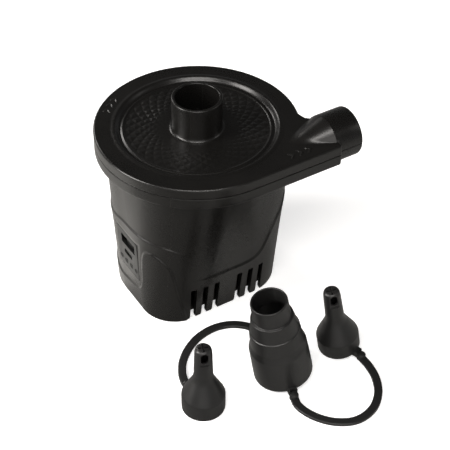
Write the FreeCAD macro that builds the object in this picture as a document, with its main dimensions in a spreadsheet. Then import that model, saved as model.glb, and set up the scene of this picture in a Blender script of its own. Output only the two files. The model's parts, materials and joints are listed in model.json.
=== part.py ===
import FreeCAD, Part
import Sketcher
import math
import os
from FreeCAD import Vector, Placement, Rotation

# Rechargeable air mattress pump with its tethered nozzle set.
# Frame: origin on the floor under the fan axis, +Z up, +X the way the outlet
# tube points, the vented face looks to -Y and the switch panel to -X. mm.

doc = FreeCAD.newDocument("air_pump")
sheet = doc.addObject("Spreadsheet::Sheet", "Sheet")

# ---- driving dimensions: alias, value, note ------------------------------
DIMENSIONS = [
    ("rim_rad", 55.0, "radius of the round head"),
    ("rim_top", 99.0, "floor to the flat top of the head"),
    ("part_z", 93.0, "height of the parting line and of the outlet axis"),
    ("band_low", 86.6, "underside of the head's band"),
    ("arm_end", 55.5, "end of the square arm that carries the outlet"),
    ("arm_rear", -25.2, "rear edge of the arm"),
    ("tube_out", 13.5, "outer radius of the inlet and outlet tubes"),
    ("tube_bore", 11.8, "bore radius of the inlet and outlet tubes"),
    ("inlet_top", 117.0, "top of the inlet tube"),
    ("outlet_y", -39.0, "outlet axis offset"),
    ("outlet_end", 70.5, "mouth of the outlet tube"),
    ("cone_small_x", 35.8, "where the outlet cone leaves the top face"),
    ("cone_big_x", 55.5, "where the cone reaches the tube radius"),
    ("recess_rad", 42.4, "radius of the recess in the top"),
    ("recess_deep", 1.8, "depth of the recess"),
    ("roof_z", 95.4, "ceiling of the fan chamber"),
    ("chamber_rad", 43.5, "fan chamber radius"),
    ("groove_in", 48.0, "inner radius of the moulding groove"),
    ("groove_out", 52.8, "outer radius of the moulding groove"),
    ("top_half", 48.6, "half width of the body under the band"),
    ("top_corner", 46.4, "corner radius of the body under the band"),
    ("foot_xm", 45.5, "body at the floor, -X side"),
    ("foot_xp", 37.3, "body at the floor, +X side"),
    ("foot_ym", 37.8, "body at the floor, -Y side"),
    ("foot_yp", 34.0, "body at the floor, +Y side"),
    ("foot_r_front", 19.5, "corner radius at the floor, -X -Y"),
    ("foot_r_right", 23.6, "corner radius at the floor, +X -Y"),
    ("foot_r_rear", 31.0, "corner radius at the floor, +Y corners"),
    ("shell", 2.2, "wall of the body"),
    ("seat_low", 70.0, "underside of the plate seat"),
    ("plate_low", 72.5, "underside of the motor plate"),
    ("plate_top", 74.5, "top of the motor plate"),
    ("plate_rad", 43.3, "motor plate radius"),
    ("vent_wide", 3.0, "vent slot width"),
    ("vent_high", 22.6, "vent slot height from the floor"),
    ("vent_pitch", 7.0, "vent slot pitch"),
    ("vent_mid", -5.0, "middle of the vent row"),
    ("vent_gap", 7.2, "middle of the row to the nearest slot"),
    ("panel_y", -3.9, "middle of the switch panel"),
    ("panel_wide", 22.2, "switch panel width"),
    ("panel_low", 19.4, "lower edge of the switch panel"),
    ("panel_high", 26.4, "switch panel height"),
    ("panel_face", 46.1, "front of the switch panel from the axis"),
    ("panel_thick", 1.5, "switch panel thickness"),
    ("switch_z", 39.2, "middle of the rocker"),
    ("port_z", 31.0, "middle of the charging socket"),
    ("lamp_z", 24.1, "middle of the lamp row"),
    ("lamp_pitch", 5.4, "lamp pitch"),
    ("lamp_rad", 0.9, "lamp radius"),
    ("base_low", 4.5, "underside of the base plate"),
    ("base_top", 6.5, "top of the base plate"),
    ("motor_rad", 14.0, "motor can radius"),
    ("motor_low", 36.0, "lower end of the motor can"),
    ("shaft_rad", 1.15, "motor shaft radius"),
    ("shaft_top", 91.6, "upper end of the shaft"),
    ("fan_rad", 38.0, "impeller radius"),
    ("fan_low", 77.5, "underside of the impeller disc"),
    ("fan_top", 91.0, "top of the blades"),
    ("cell_rad", 9.1, "battery cell radius"),
    ("cell_low", 10.0, "lower end of the cells"),
    ("cell_long", 50.0, "battery cell length"),
    ("cell_x", 22.5, "cell axis from the fan axis"),
    ("cell_y", 9.6, "cell axis off the middle"),
    ("board_front", 39.0, "front of the control board from the axis"),
    ("board_thick", 1.6, "control board thickness"),
    ("adapt_tall", 53.5, "height of the stepped adapter"),
    ("adapt_skirt", 15.7, "radius of the adapter skirt"),
    ("adapt_bore", 13.55, "bore that slips over the pump tubes"),
    ("noz_rad", 11.4, "radius of the small nozzle's base"),
    ("noz_bore", 10.0, "bore that slips over the adapter tip"),
    ("noz_tall", 42.8, "height of the small nozzle"),
    ("strap_wide", 4.4, "strap width"),
    ("strap_thick", 1.8, "strap thickness"),
    ("knuckle_rad", 2.4, "radius of the strap end"),
    ("lug_gap", 2.46, "radius of the lug's hollow for the strap end"),
    ("lean_adapt", 10.3, "lean of the adapter in degrees"),
    ("lean_noz", 9.9, "lean of the +X small nozzle in degrees"),
]


class Linked:
    """A number together with the sheet expression it comes from."""

    def __init__(self, value, expr):
        self.value = float(value)
        self.expr = expr

    @staticmethod
    def of(other):
        return other if isinstance(other, Linked) else Linked(other, "%.6g" % other)

    def _join(self, other, sign, work):
        other = Linked.of(other)
        expr = "(%s %s %s)" % (self.expr, sign, other.expr)
        return Linked(work(self.value, other.value), expr)

    def __add__(self, other):
        return self._join(other, "+", lambda a, b: a + b)

    def __sub__(self, other):
        return self._join(other, "-", lambda a, b: a - b)

    def __mul__(self, other):
        return self._join(other, "*", lambda a, b: a * b)

    def __truediv__(self, other):
        return self._join(other, "/", lambda a, b: a / b)

    def __neg__(self):
        return Linked(-self.value, "(0 - %s)" % self.expr)


class Dim:
    """The driving dimensions, one attribute for each sheet alias."""


for row, (alias, number, note) in enumerate(DIMENSIONS, 1):
    sheet.set("A%d" % row, alias)
    sheet.set("B%d" % row, "%.6g" % number)
    sheet.set("C%d" % row, note)
    sheet.setAlias("B%d" % row, alias)
    setattr(Dim, alias, Linked(number, "Sheet." + alias))
doc.recompute()

PARTS = []


def piece(build):
    """Decorator: build a piece at once and label it with its function's name."""
    part = build()
    part.Label = build.__name__
    PARTS.append(part)
    return part


# ---- binding and placing -------------------------------------------------
UP = Rotation()
DOWN = Rotation(Vector(1, 0, 0), 180)


def facing(x, y, z):
    """Rotation that takes +Z to the given direction."""
    return Rotation(Vector(0, 0, 1), Vector(x, y, z))


def turn(deg):
    return Rotation(Vector(0, 0, 1), deg)


ALONG_X = facing(1, 0, 0)


def polar_point(radius, deg, x=0.0, y=0.0):
    """Point at a distance and bearing from x, y."""
    angle = math.radians(deg)
    return (x + radius * math.cos(angle), y + radius * math.sin(angle))


def drive(obj, path, value):
    """Bind a property to the value's expression when the sheet is part of it."""
    if "Sheet." in value.expr:
        obj.setExpression(path, value.expr)


def bind(obj, prop, value):
    value = Linked.of(value)
    setattr(obj, prop, value.value)
    drive(obj, prop, value)


def place(obj, base, rotation=UP):
    base = [Linked.of(c) for c in base]
    obj.Placement = Placement(Vector(*[c.value for c in base]), rotation)
    for coordinate, axis in zip(base, "xyz"):
        drive(obj, "Placement.Base." + axis, coordinate)
    return obj


# ---- Part objects --------------------------------------------------------
def cyl(name, radius, height, base, rotation=UP, angle=None):
    obj = doc.addObject("Part::Cylinder", name)
    bind(obj, "Radius", radius)
    bind(obj, "Height", height)
    if angle:
        obj.Angle = angle
    return place(obj, base, rotation)


def cone(name, radius1, radius2, height, base, rotation):
    obj = doc.addObject("Part::Cone", name)
    bind(obj, "Radius1", radius1)
    bind(obj, "Radius2", radius2)
    bind(obj, "Height", height)
    return place(obj, base, rotation)


def box(name, low, high):
    """Box between two opposite corners."""
    obj = doc.addObject("Part::Box", name)
    low = [Linked.of(c) for c in low]
    high = [Linked.of(c) for c in high]
    for prop, a, b in zip(("Length", "Width", "Height"), low, high):
        bind(obj, prop, b - a)
    return place(obj, low)


def radial_box(name, long, wide, high, start, deg, z, x=0.0, y=0.0):
    """Box that runs outwards on a bearing, from start away from x, y."""
    obj = doc.addObject("Part::Box", name)
    bind(obj, "Length", long)
    bind(obj, "Width", wide)
    bind(obj, "Height", high)
    x, y = polar_point(start, deg, x, y)
    x, y = polar_point(wide / 2, deg - 90, x, y)
    return place(obj, (x, y, z), turn(deg))


def fuse(name, shapes):
    obj = doc.addObject("Part::MultiFuse", name)
    obj.Shapes = shapes
    obj.Refine = True
    return obj


def group(name, shapes):
    """Loose pieces of one node, kept as separate solids."""
    obj = doc.addObject("Part::Compound", name)
    obj.Links = shapes
    return obj


def cut(name, base, tool):
    obj = doc.addObject("Part::Cut", name)
    obj.Base = base
    obj.Tool = tool
    obj.Refine = True
    return obj


def common(name, first, second):
    obj = doc.addObject("Part::MultiCommon", name)
    obj.Shapes = [first, second]
    return obj


# ---- PartDesign bodies and sketches --------------------------------------
def new_body(name):
    return doc.addObject("PartDesign::Body", name)


def origin_feature(body, role):
    return [o for o in body.Origin.OriginFeatures if o.Role == role][0]


def new_sketch(body, name, role="XY_Plane", z=0.0):
    """Sketch on an origin plane, moved by z along the plane's normal."""
    sketch = body.newObject("Sketcher::SketchObject", name)
    sketch.AttachmentSupport = [(origin_feature(body, role), "")]
    sketch.MapMode = "FlatFace"
    z = Linked.of(z)
    sketch.AttachmentOffset = Placement(Vector(0, 0, z.value), Rotation())
    drive(sketch, "AttachmentOffset.Base.z", z)
    return sketch


def constrain(sketch, *terms):
    """Add a constraint whose last term is its size, bound to the sheet."""
    value = Linked.of(terms[-1])
    index = sketch.addConstraint(Sketcher.Constraint(*terms[:-1], value.value))
    drive(sketch, "Constraints[%d]" % index, value)


def pin(sketch, geo, point, x, y):
    """Hold a point of the sketch at x, y."""
    for kind, zero_axis, value in (("DistanceX", -2, x), ("DistanceY", -1, y)):
        value = Linked.of(value)
        if abs(value.value) < 1e-9:
            sketch.addConstraint(Sketcher.Constraint("PointOnObject", geo, point, zero_axis))
        else:
            constrain(sketch, kind, -1, 1, geo, point, value)


def polygon(sketch, points):
    points = [(Linked.of(x), Linked.of(y)) for x, y in points]
    corners = [Vector(x.value, y.value, 0) for x, y in points]
    count = len(points)
    lines = [sketch.addGeometry(Part.LineSegment(corners[i], corners[(i + 1) % count]))
             for i in range(count)]
    for i in range(count):
        sketch.addConstraint(
            Sketcher.Constraint("Coincident", lines[i], 2, lines[(i + 1) % count], 1))
    for line, (x, y) in zip(lines, points):
        pin(sketch, line, 1, x, y)


def rectangle(sketch, x_low, x_high, y_low, y_high):
    polygon(sketch, [(x_low, y_low), (x_high, y_low), (x_high, y_high), (x_low, y_high)])


def circle(sketch, x, y, radius):
    x, y, radius = Linked.of(x), Linked.of(y), Linked.of(radius)
    geo = sketch.addGeometry(
        Part.Circle(Vector(x.value, y.value, 0), Vector(0, 0, 1), radius.value))
    if abs(x.value) < 1e-9 and abs(y.value) < 1e-9:
        sketch.addConstraint(Sketcher.Constraint("Coincident", geo, 3, -1, 1))
    else:
        pin(sketch, geo, 3, x, y)
    constrain(sketch, "Radius", geo, radius)


def round_rect(sketch, x_low, x_high, y_low, y_high, radii):
    """Rounded rectangle; radii run -x-y, +x-y, +x+y, -x+y."""
    radii = [Linked.of(radius) for radius in radii]
    centres = [(x_low + radii[0], y_low + radii[0]), (x_high - radii[1], y_low + radii[1]),
               (x_high - radii[2], y_high - radii[2]), (x_low + radii[3], y_high - radii[3])]
    starts = [math.pi, 1.5 * math.pi, 0, 0.5 * math.pi]
    arcs = []
    for (x, y), radius, start in zip(centres, radii, starts):
        full = Part.Circle(Vector(x.value, y.value, 0), Vector(0, 0, 1), radius.value)
        arcs.append(sketch.addGeometry(Part.ArcOfCircle(full, start, start + math.pi / 2)))
    lines = []
    for i in range(4):
        begin = sketch.getPoint(arcs[i], 2)
        end = sketch.getPoint(arcs[(i + 1) % 4], 1)
        lines.append(sketch.addGeometry(Part.LineSegment(begin, end)))
    for i in range(4):
        following = arcs[(i + 1) % 4]
        sketch.addConstraint(Sketcher.Constraint("Tangent", arcs[i], 2, lines[i], 1))
        sketch.addConstraint(Sketcher.Constraint("Tangent", lines[i], 2, following, 1))
    for arc, radius in zip(arcs, radii):
        constrain(sketch, "Radius", arc, radius)
    for i, level in enumerate(("Horizontal", "Vertical", "Horizontal", "Vertical")):
        sketch.addConstraint(Sketcher.Constraint(level, lines[i]))
    sides = (("DistanceY", y_low), ("DistanceX", x_high),
             ("DistanceY", y_high), ("DistanceX", x_low))
    for line, (kind, value) in zip(lines, sides):
        constrain(sketch, kind, -1, 1, line, 1, value)


def revolve(body, name, points):
    """Turned shape: points are radius, height pairs about Z."""
    sketch = new_sketch(body, name + "_profile", "XZ_Plane")
    polygon(sketch, points)
    feature = body.newObject("PartDesign::Revolution", name)
    feature.Profile = sketch
    feature.ReferenceAxis = (sketch, ["V_Axis"])
    feature.Angle = 360


def turned(name, points):
    """Body that is one turned shape."""
    body = new_body(name + "_body")
    revolve(body, name + "_turn", points)
    return body


def pad(body, name, sketch, length):
    feature = body.newObject("PartDesign::Pad", name)
    feature.Profile = sketch
    bind(feature, "Length", length)
    return feature


def pocket(body, name, sketch, length, reverse=False):
    feature = body.newObject("PartDesign::Pocket", name)
    feature.Profile = sketch
    bind(feature, "Length", length)
    feature.Reversed = reverse
    return feature


def polar_pattern(body, name, feature, count):
    """Repeat a feature evenly about Z."""
    pattern = body.newObject("PartDesign::PolarPattern", name)
    pattern.Originals = [feature]
    pattern.Axis = (origin_feature(body, "Z_Axis"), [""])
    pattern.Angle = 360
    pattern.Occurrences = count
    body.Tip = pattern


# ---- screws --------------------------------------------------------------
QUARTERS = (0, 90, 180, 270)
RIM_SCREWS = [polar_point(51.8, deg) for deg in QUARTERS]
SEAT_RING = 41.0            # radius of the motor plate's screw circle
SEAT_SCREWS = [polar_point(SEAT_RING, deg) for deg in QUARTERS]
BASE_SCREWS = [(-36.3, -28.3), (27.5, -27.5), (25.4, 21.7), (-32.9, 21.7)]
MOTOR_SCREW_X = (-8.0, 8.0)
PILOT_RAD = 1.3             # pilot holes in the housing and the cover
CASE_SHANK_RAD = 1.25       # screws that run in those holes


def pan_screw(name, base, rotation, head_rad, head_high, shank_rad, length):
    """Cross-recess pan head screw, shank along +Z before it is turned."""
    body = new_body(name)
    revolve(body, name + "_turn", [
        (0, -head_high), (head_rad * 0.72, -head_high), (head_rad, -head_high * 0.45),
        (head_rad, 0), (shank_rad, 0), (shank_rad, length - 1.2),
        (shank_rad * 0.35, length), (0, length)])
    doc.recompute()
    sketch = new_sketch(body, name + "_cross", z=-head_high)
    near, far = head_rad * 0.14, head_rad * 0.55
    polygon(sketch, [
        (-near, -far), (near, -far), (near, -near), (far, -near), (far, near), (near, near),
        (near, far), (-near, far), (-near, near), (-far, near), (-far, -near), (-near, -near)])
    pocket(body, name + "_recess", sketch, head_high * 0.5, reverse=True)
    return place(body, base, rotation)


def screw_set(name, bases, rotation, **sizes):
    return group(name + "_set", [pan_screw("%s_%d" % (name, i), base, rotation, **sizes)
                                 for i, base in enumerate(bases)])


def upright_set(name, spots, radius, height, z):
    """One upright cylinder at each x, y spot."""
    return [cyl("%s_%d" % (name, i), radius, height, (x, y, z))
            for i, (x, y) in enumerate(spots)]


# =========================================================================
# Head: round, with a square arm; the outlet is shared by its two halves
# =========================================================================
BOSS_RAD = 3.3              # material left in the groove round each rim screw


def head_outline(name, low, high):
    """Disc plus the square arm that runs off along its -Y tangent."""
    disc = cyl(name + "_disc", Dim.rim_rad, high - low, (0, 0, low))
    arm = box(name + "_arm", (0, -Dim.rim_rad, low), (Dim.arm_end, Dim.arm_rear, high))
    return fuse(name, [disc, arm])


def outlet_outside():
    """Cone and tube, whole; each half of the head takes its side of the parting plane."""
    tube = cyl("outlet_tube_outside", Dim.tube_out, Dim.outlet_end - Dim.cone_big_x,
               (Dim.cone_big_x, Dim.outlet_y, Dim.part_z), ALONG_X)
    blend = cone("outlet_cone_outside", Dim.rim_top - Dim.part_z, Dim.tube_out,
                 Dim.cone_big_x - Dim.cone_small_x,
                 (Dim.cone_small_x, Dim.outlet_y, Dim.part_z), ALONG_X)
    return fuse("outlet_whole", [tube, blend])


def outlet_inside():
    """Air way from the fan chamber through the cone to the mouth."""
    wall = 1.7              # wall at the cone's small end
    overlap = 0.5           # keeps the hollows running into each other
    tube = cyl("outlet_tube_inside", Dim.tube_bore, Dim.outlet_end - Dim.cone_big_x + 2,
               (Dim.cone_big_x - overlap, Dim.outlet_y, Dim.part_z), ALONG_X)
    blend = cone("outlet_cone_inside", Dim.rim_top - Dim.part_z - wall, Dim.tube_bore,
                 Dim.cone_big_x - Dim.cone_small_x,
                 (Dim.cone_small_x - overlap, Dim.outlet_y, Dim.part_z), ALONG_X)
    passage = box("outlet_passage", (6, -45, Dim.band_low + 1.6), (50, -32, Dim.roof_z))
    return fuse("outlet_air_way", [tube, blend, passage])


def moulding_groove(name, core_rad, ring, core, stops, arm_low):
    """Ring groove broken at the rim screws and the arm.

    ring, core and stops are (bottom, height) of the groove, its core and its breaks.
    """
    hoop = cut(name + "_groove_ring",
               cyl(name + "_groove_out", Dim.groove_out, ring[1], (0, 0, ring[0])),
               cyl(name + "_groove_in", core_rad, core[1], (0, 0, core[0])))
    breaks = upright_set(name + "_boss", RIM_SCREWS, BOSS_RAD, stops[1], stops[0])
    breaks.append(box(name + "_groove_arm", (-2, -60, arm_low), (60, -8, 100)))
    return cut(name + "_groove", hoop, fuse(name + "_groove_stops", breaks))


outlet_whole = outlet_outside()
air_way = outlet_inside()


def chamfered_slab():
    """Top half of the head with its upper rim chamfered."""
    rim_chamfer = 0.7
    slab = head_outline("cover_slab", Dim.part_z, Dim.rim_top)
    chamfer = doc.addObject("Part::Chamfer", "cover_edge")
    chamfer.Base = slab
    doc.recompute()
    top = Dim.rim_top.value
    chamfer.Edges = [
        (i, rim_chamfer, rim_chamfer) for i, edge in enumerate(slab.Shape.Edges, 1)
        if abs(edge.BoundBox.ZMin - top) < 1e-6 and abs(edge.BoundBox.ZMax - top) < 1e-6]
    return chamfer


@piece
def top_cover():
    slab = chamfered_slab()
    floor = Dim.rim_top - Dim.recess_deep
    outer, rim = Dim.tube_out, Dim.recess_rad
    # inlet tube with a flared foot
    neck = turned("inlet_neck", [
        (Dim.tube_bore - 2, Dim.roof_z), (outer + 4.2, Dim.roof_z), (outer + 4.0, floor),
        (outer + 1.6, floor + 0.8), (outer + 0.4, floor + 2.4), (outer, floor + 4.2),
        (outer, Dim.inlet_top - 0.5), (outer - 0.5, Dim.inlet_top),
        (Dim.tube_bore - 2, Dim.inlet_top)])
    # round recess with a low ridge near its edge
    recess = turned("top_recess", [
        (0, floor), (rim - 3.3, floor), (rim - 2.9, floor + 0.55), (rim - 2.3, floor + 0.55),
        (rim - 1.8, floor), (rim - 1.0, floor), (rim, Dim.rim_top + 0.02),
        (0, Dim.rim_top + 0.02)])
    above = box("above_parting", (-80, -80, Dim.part_z), (90, 80, 140))
    block = fuse("cover_block", [
        cut("cover_sunk", slab, recess), neck,
        common("cover_outlet_half", outlet_whole, above)])
    under = Dim.part_z - 0.01   # starts hollows just below the parting plane
    groove = moulding_groove("cover", Dim.groove_in, ring=(under, 4.0),
                             core=(Dim.part_z - 1, 6.0), stops=(Dim.part_z - 1, 8), arm_low=90)
    hollow = fuse("cover_hollow", [
        cyl("chamber_upper", Dim.chamber_rad, Dim.roof_z - Dim.part_z + 0.01, (0, 0, under)),
        cyl("inlet_bore", Dim.tube_bore, 40, (0, 0, Dim.part_z)),
        air_way, groove] + upright_set("cover_pilot", RIM_SCREWS, PILOT_RAD, 3.8, under))
    return cut("top_cover", block, hollow)


# =========================================================================
# Main housing: tapered body under the lower half of the head
# =========================================================================
panel_y_low = Dim.panel_y - Dim.panel_wide / 2
panel_y_high = Dim.panel_y + Dim.panel_wide / 2
panel_top = Dim.panel_low + Dim.panel_high
panel_back = Dim.panel_face - Dim.panel_thick
BOARD_POST_Y = (-15.8, 7.9)


def at_height(low, high, z):
    """Size of the tapered body at height z."""
    return low + (high - low) * z / Dim.band_low


def section(sketch, z, inset):
    """Outline of the tapered body at height z, drawn in by inset."""
    x_minus, x_plus, y_minus, y_plus = [
        at_height(foot, Dim.top_half, z) - inset
        for foot in (Dim.foot_xm, Dim.foot_xp, Dim.foot_ym, Dim.foot_yp)]
    radii = [at_height(foot, Dim.top_corner, z) - inset
             for foot in (Dim.foot_r_front, Dim.foot_r_right, Dim.foot_r_rear, Dim.foot_r_rear)]
    round_rect(sketch, -x_minus, x_plus, -y_minus, y_plus, radii)


def tapered(name, low, high, inset):
    body = new_body(name + "_body")
    sketches = []
    for end, z in (("_low", low), ("_high", high)):
        sketch = new_sketch(body, name + end, z=z)
        section(sketch, z, inset)
        sketches.append(sketch)
    loft = body.newObject("PartDesign::AdditiveLoft", name)
    loft.Profile = sketches[0]
    loft.Sections = [sketches[1]]
    loft.Ruled = True
    loft.Closed = False
    return body


def vent_slots():
    """Two runs of three slots, either side of the row's middle, open at the floor."""
    middles = [Dim.vent_mid + (Dim.vent_gap + Dim.vent_pitch * k) * side
               for side in (-1, 1) for k in range(3)]
    half = Dim.vent_wide / 2
    return [box("vent_slot_%d" % i, (x - half, -60, -1), (x + half, -28, Dim.vent_high))
            for i, x in enumerate(middles)]


def housing_bosses():
    """Base bosses with their ribs, then the bosses under the motor plate."""
    tall, rib_long, rib_thick = 9.5, 9.0, 1.6
    bosses = upright_set("base_boss", BASE_SCREWS, 3.0, tall, Dim.base_top)
    ribs = [radial_box("base_rib_%d" % i, rib_long, rib_thick, tall, 0, deg, Dim.base_top, x, y)
            for i, ((x, y), deg) in enumerate(zip(BASE_SCREWS, (-135, -45, 45, 135)))]
    # set a little further out than the screws, into the wall
    spots = [polar_point(SEAT_RING * 1.03, deg) for deg in QUARTERS]
    seats = upright_set("seat_boss", spots, 2.6, 9.0, Dim.seat_low - 7.5)
    return bosses + ribs + seats


@piece
def main_housing():
    outside = tapered("body_outside", 0.0, Dim.band_low, 0.0)
    inside = tapered("body_inside", -0.5, Dim.seat_low, Dim.shell)
    below = box("below_parting", (-80, -80, 40), (90, 80, Dim.part_z))
    skin = fuse("housing_skin", [
        cut("housing_shell", outside, inside),
        head_outline("band_slab", Dim.band_low, Dim.part_z),
        common("housing_outlet_half", outlet_whole, below)])

    # thickened wall behind the switch panel, its seat and the opening through it
    panel_pad = box("panel_pad", (-45.3, panel_y_low - 3, Dim.panel_low - 2.4),
                    (-panel_back + 2, panel_y_high + 2.3, panel_top + 2.2))
    gap = 0.1
    panel_seat = box("panel_seat", (-60, panel_y_low - gap, Dim.panel_low - gap),
                     (-panel_back, panel_y_high + gap, panel_top + gap))
    panel_hole = box("panel_hole", (-60, -14.2, 22), (-30, 5.6, 44))
    post_start = 1.8        # posts begin this far behind the panel
    posts = [cyl("board_post_%d" % i, 1.8, panel_back - post_start - Dim.board_front,
                 (-panel_back + post_start, y, Dim.port_z), ALONG_X)
             for i, y in enumerate(BOARD_POST_Y)]
    post_holes = [cyl("board_post_hole_%d" % i, 0.85, 3.0,
                      (-Dim.board_front - 2.9, y, Dim.port_z), ALONG_X)
                  for i, y in enumerate(BOARD_POST_Y)]

    solid = fuse("housing_solid", [
        skin,
        common("panel_pad_trim", panel_pad, outside),
        common("boss_trim", fuse("boss_set", housing_bosses()), outside)] + posts)
    groove = moulding_groove("housing", Dim.groove_in + 1.0, ring=(Dim.part_z - 4.4, 5.0),
                             core=(Dim.part_z - 6, 8.0), stops=(Dim.part_z - 8, 12),
                             arm_low=80)
    chamber = cyl("chamber_lower", Dim.chamber_rad, Dim.part_z - Dim.plate_low + 1,
                  (0, 0, Dim.plate_low))
    seat_opening = cyl("seat_opening", 39.2, 6, (0, 0, Dim.seat_low - 1))
    under_band = Dim.band_low - 0.5
    hollow = fuse("housing_hollow", vent_slots() + [
        chamber, seat_opening, air_way, panel_seat, panel_hole, groove]
        + upright_set("housing_screw_hole", RIM_SCREWS, 1.4, 8, under_band)
        + upright_set("housing_head_pocket", RIM_SCREWS, 2.4, 2.5, under_band)
        + upright_set("base_pilot", BASE_SCREWS, PILOT_RAD, 7.0, Dim.base_top - 0.01)
        + upright_set("seat_pilot", SEAT_SCREWS, PILOT_RAD, 8.0, Dim.plate_low - 8.0)
        + post_holes)
    return cut("main_housing", solid, hollow)


@piece
def base_plate():
    body = new_body("base_plate_body")
    sketch = new_sketch(body, "base_plate_outline", z=Dim.base_low)
    section(sketch, Dim.base_low, Dim.shell + 0.3)
    pad(body, "base_plate_pad", sketch, Dim.base_top - Dim.base_low)
    sketch = new_sketch(body, "base_plate_holes", z=Dim.base_top)
    for x, y in BASE_SCREWS:
        circle(sketch, x, y, 1.6)
    first, pitch, wide, half_long = -26.0, 7.0, 2.4, 14.0   # row of five slots
    for k in range(5):
        x = first + pitch * k
        rectangle(sketch, x, x + wide, -half_long, half_long)
    pocket(body, "base_plate_cut", sketch, 5.0)
    return body


@piece
def cover_screws():
    return screw_set("cover_screw", [(x, y, Dim.band_low + 2.0) for x, y in RIM_SCREWS], UP,
                     head_rad=2.2, head_high=1.7, shank_rad=CASE_SHANK_RAD, length=7.6)


@piece
def base_screws():
    return screw_set("base_screw", [(x, y, Dim.base_low) for x, y in BASE_SCREWS], UP,
                     head_rad=2.1, head_high=1.6, shank_rad=CASE_SHANK_RAD, length=8.5)


@piece
def plate_screws():
    return screw_set("plate_screw", [(x, y, Dim.plate_top) for x, y in SEAT_SCREWS], DOWN,
                     head_rad=2.3, head_high=1.6, shank_rad=CASE_SHANK_RAD, length=9.0)


@piece
def motor_plate():
    body = new_body("motor_plate_body")
    sketch = new_sketch(body, "motor_plate_outline", z=Dim.plate_low)
    circle(sketch, 0, 0, Dim.plate_rad)
    circle(sketch, 0, 0, 3.6)
    for x, y in SEAT_SCREWS:
        circle(sketch, x, y, 1.6)
    for x in MOTOR_SCREW_X:
        circle(sketch, x, 0, 1.5)
    pad(body, "motor_plate_pad", sketch, Dim.plate_top - Dim.plate_low)
    return body


# =========================================================================
# Motor, upright under the motor plate
# =========================================================================
BUSH_RAD = 3.0              # outside of the bushes and the holes that hold them
CAN_WALL = 1.2
MAGNET_OUT = Dim.motor_rad - 1.25
CAP_THICK = 3
COIL_LEVELS = (44.4, 64.0)  # undersides of the coil ends, below and above the core
TERMINAL_X = (8.6, 9.4)     # inner and outer face of a motor terminal


@piece
def motor_can():
    body = new_body("motor_can_body")
    radius, top = Dim.motor_rad, Dim.plate_low
    revolve(body, "motor_can_turn", [
        (BUSH_RAD, top), (radius - 0.6, top), (radius, top - 0.6), (radius, Dim.motor_low),
        (radius - CAN_WALL, Dim.motor_low), (radius - CAN_WALL, top - CAN_WALL),
        (BUSH_RAD, top - CAN_WALL)])
    doc.recompute()
    sketch = new_sketch(body, "motor_can_holes", z=top)
    for x in MOTOR_SCREW_X:
        circle(sketch, x, 0, 1.05)
    pocket(body, "motor_can_tapped", sketch, 3.0)
    return body


@piece
def motor_screws():
    return screw_set("motor_screw", [(x, 0, Dim.plate_top) for x in MOTOR_SCREW_X], DOWN,
                     head_rad=2.1, head_high=1.5, shank_rad=1.0, length=3.6)


@piece
def motor_end_cap():
    body = new_body("motor_end_cap_body")
    radius, top = Dim.motor_rad, Dim.motor_low
    revolve(body, "motor_end_cap_turn", [
        (BUSH_RAD, top - CAP_THICK), (radius - 0.5, top - CAP_THICK), (radius, top - 2.5),
        (radius, top), (radius - 1.25, top), (radius - 1.25, top + 2),
        (radius - 3.5, top + 2), (radius - 3.5, top), (BUSH_RAD, top)])
    doc.recompute()
    sketch = new_sketch(body, "motor_end_cap_slots", z=top)
    half_thick, half_wide = 0.45, 1.7       # slots for the terminals
    for x in (-9.0, 9.0):
        rectangle(sketch, x - half_thick, x + half_thick, -half_wide, half_wide)
    pocket(body, "motor_end_cap_cut", sketch, 4.0)
    return body


@piece
def motor_bushes():
    bushes = []
    for i, (z, high) in enumerate(((Dim.plate_low - 2.2, 3.8),
                                   (Dim.motor_low - CAP_THICK, 3.0))):
        bushes.append(cut(
            "motor_bush_%d" % i, cyl("motor_bush_out_%d" % i, BUSH_RAD, high, (0, 0, z)),
            cyl("motor_bush_in_%d" % i, Dim.shaft_rad + 0.04, high + 2, (0, 0, z - 1))))
    return group("motor_bush_pair", bushes)


@piece
def motor_magnets():
    arcs = []
    for i, deg in enumerate((30, 210)):
        sector = cyl("magnet_out_%d" % i, MAGNET_OUT, 26, (0, 0, 43), turn(deg), angle=120)
        core = cyl("magnet_in_%d" % i, Dim.motor_rad - 3.3, 28, (0, 0, 42))
        arcs.append(cut("magnet_%d" % i, sector, core))
    return group("motor_magnet_pair", arcs)


@piece
def armature_core():
    low, tall = 46.0, 18.0
    body = new_body("armature_core_body")
    sketch = new_sketch(body, "armature_outline", z=low)
    circle(sketch, 0, 0, Dim.motor_rad - 3.9)
    circle(sketch, 0, 0, Dim.shaft_rad)
    pad(body, "armature_pad", sketch, tall)
    doc.recompute()
    # T slot: wide inside, with a narrow mouth at the rim
    sketch = new_sketch(body, "armature_slot_shape", z=low + tall)
    polygon(sketch, [(4.2, -1.9), (8.6, -1.9), (8.6, -0.6), (11.5, -0.6),
                     (11.5, 0.6), (8.6, 0.6), (8.6, 1.9), (4.2, 1.9)])
    slot = pocket(body, "armature_slot", sketch, 20.0)
    polar_pattern(body, "armature_slots", slot, 5)
    return body


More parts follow.
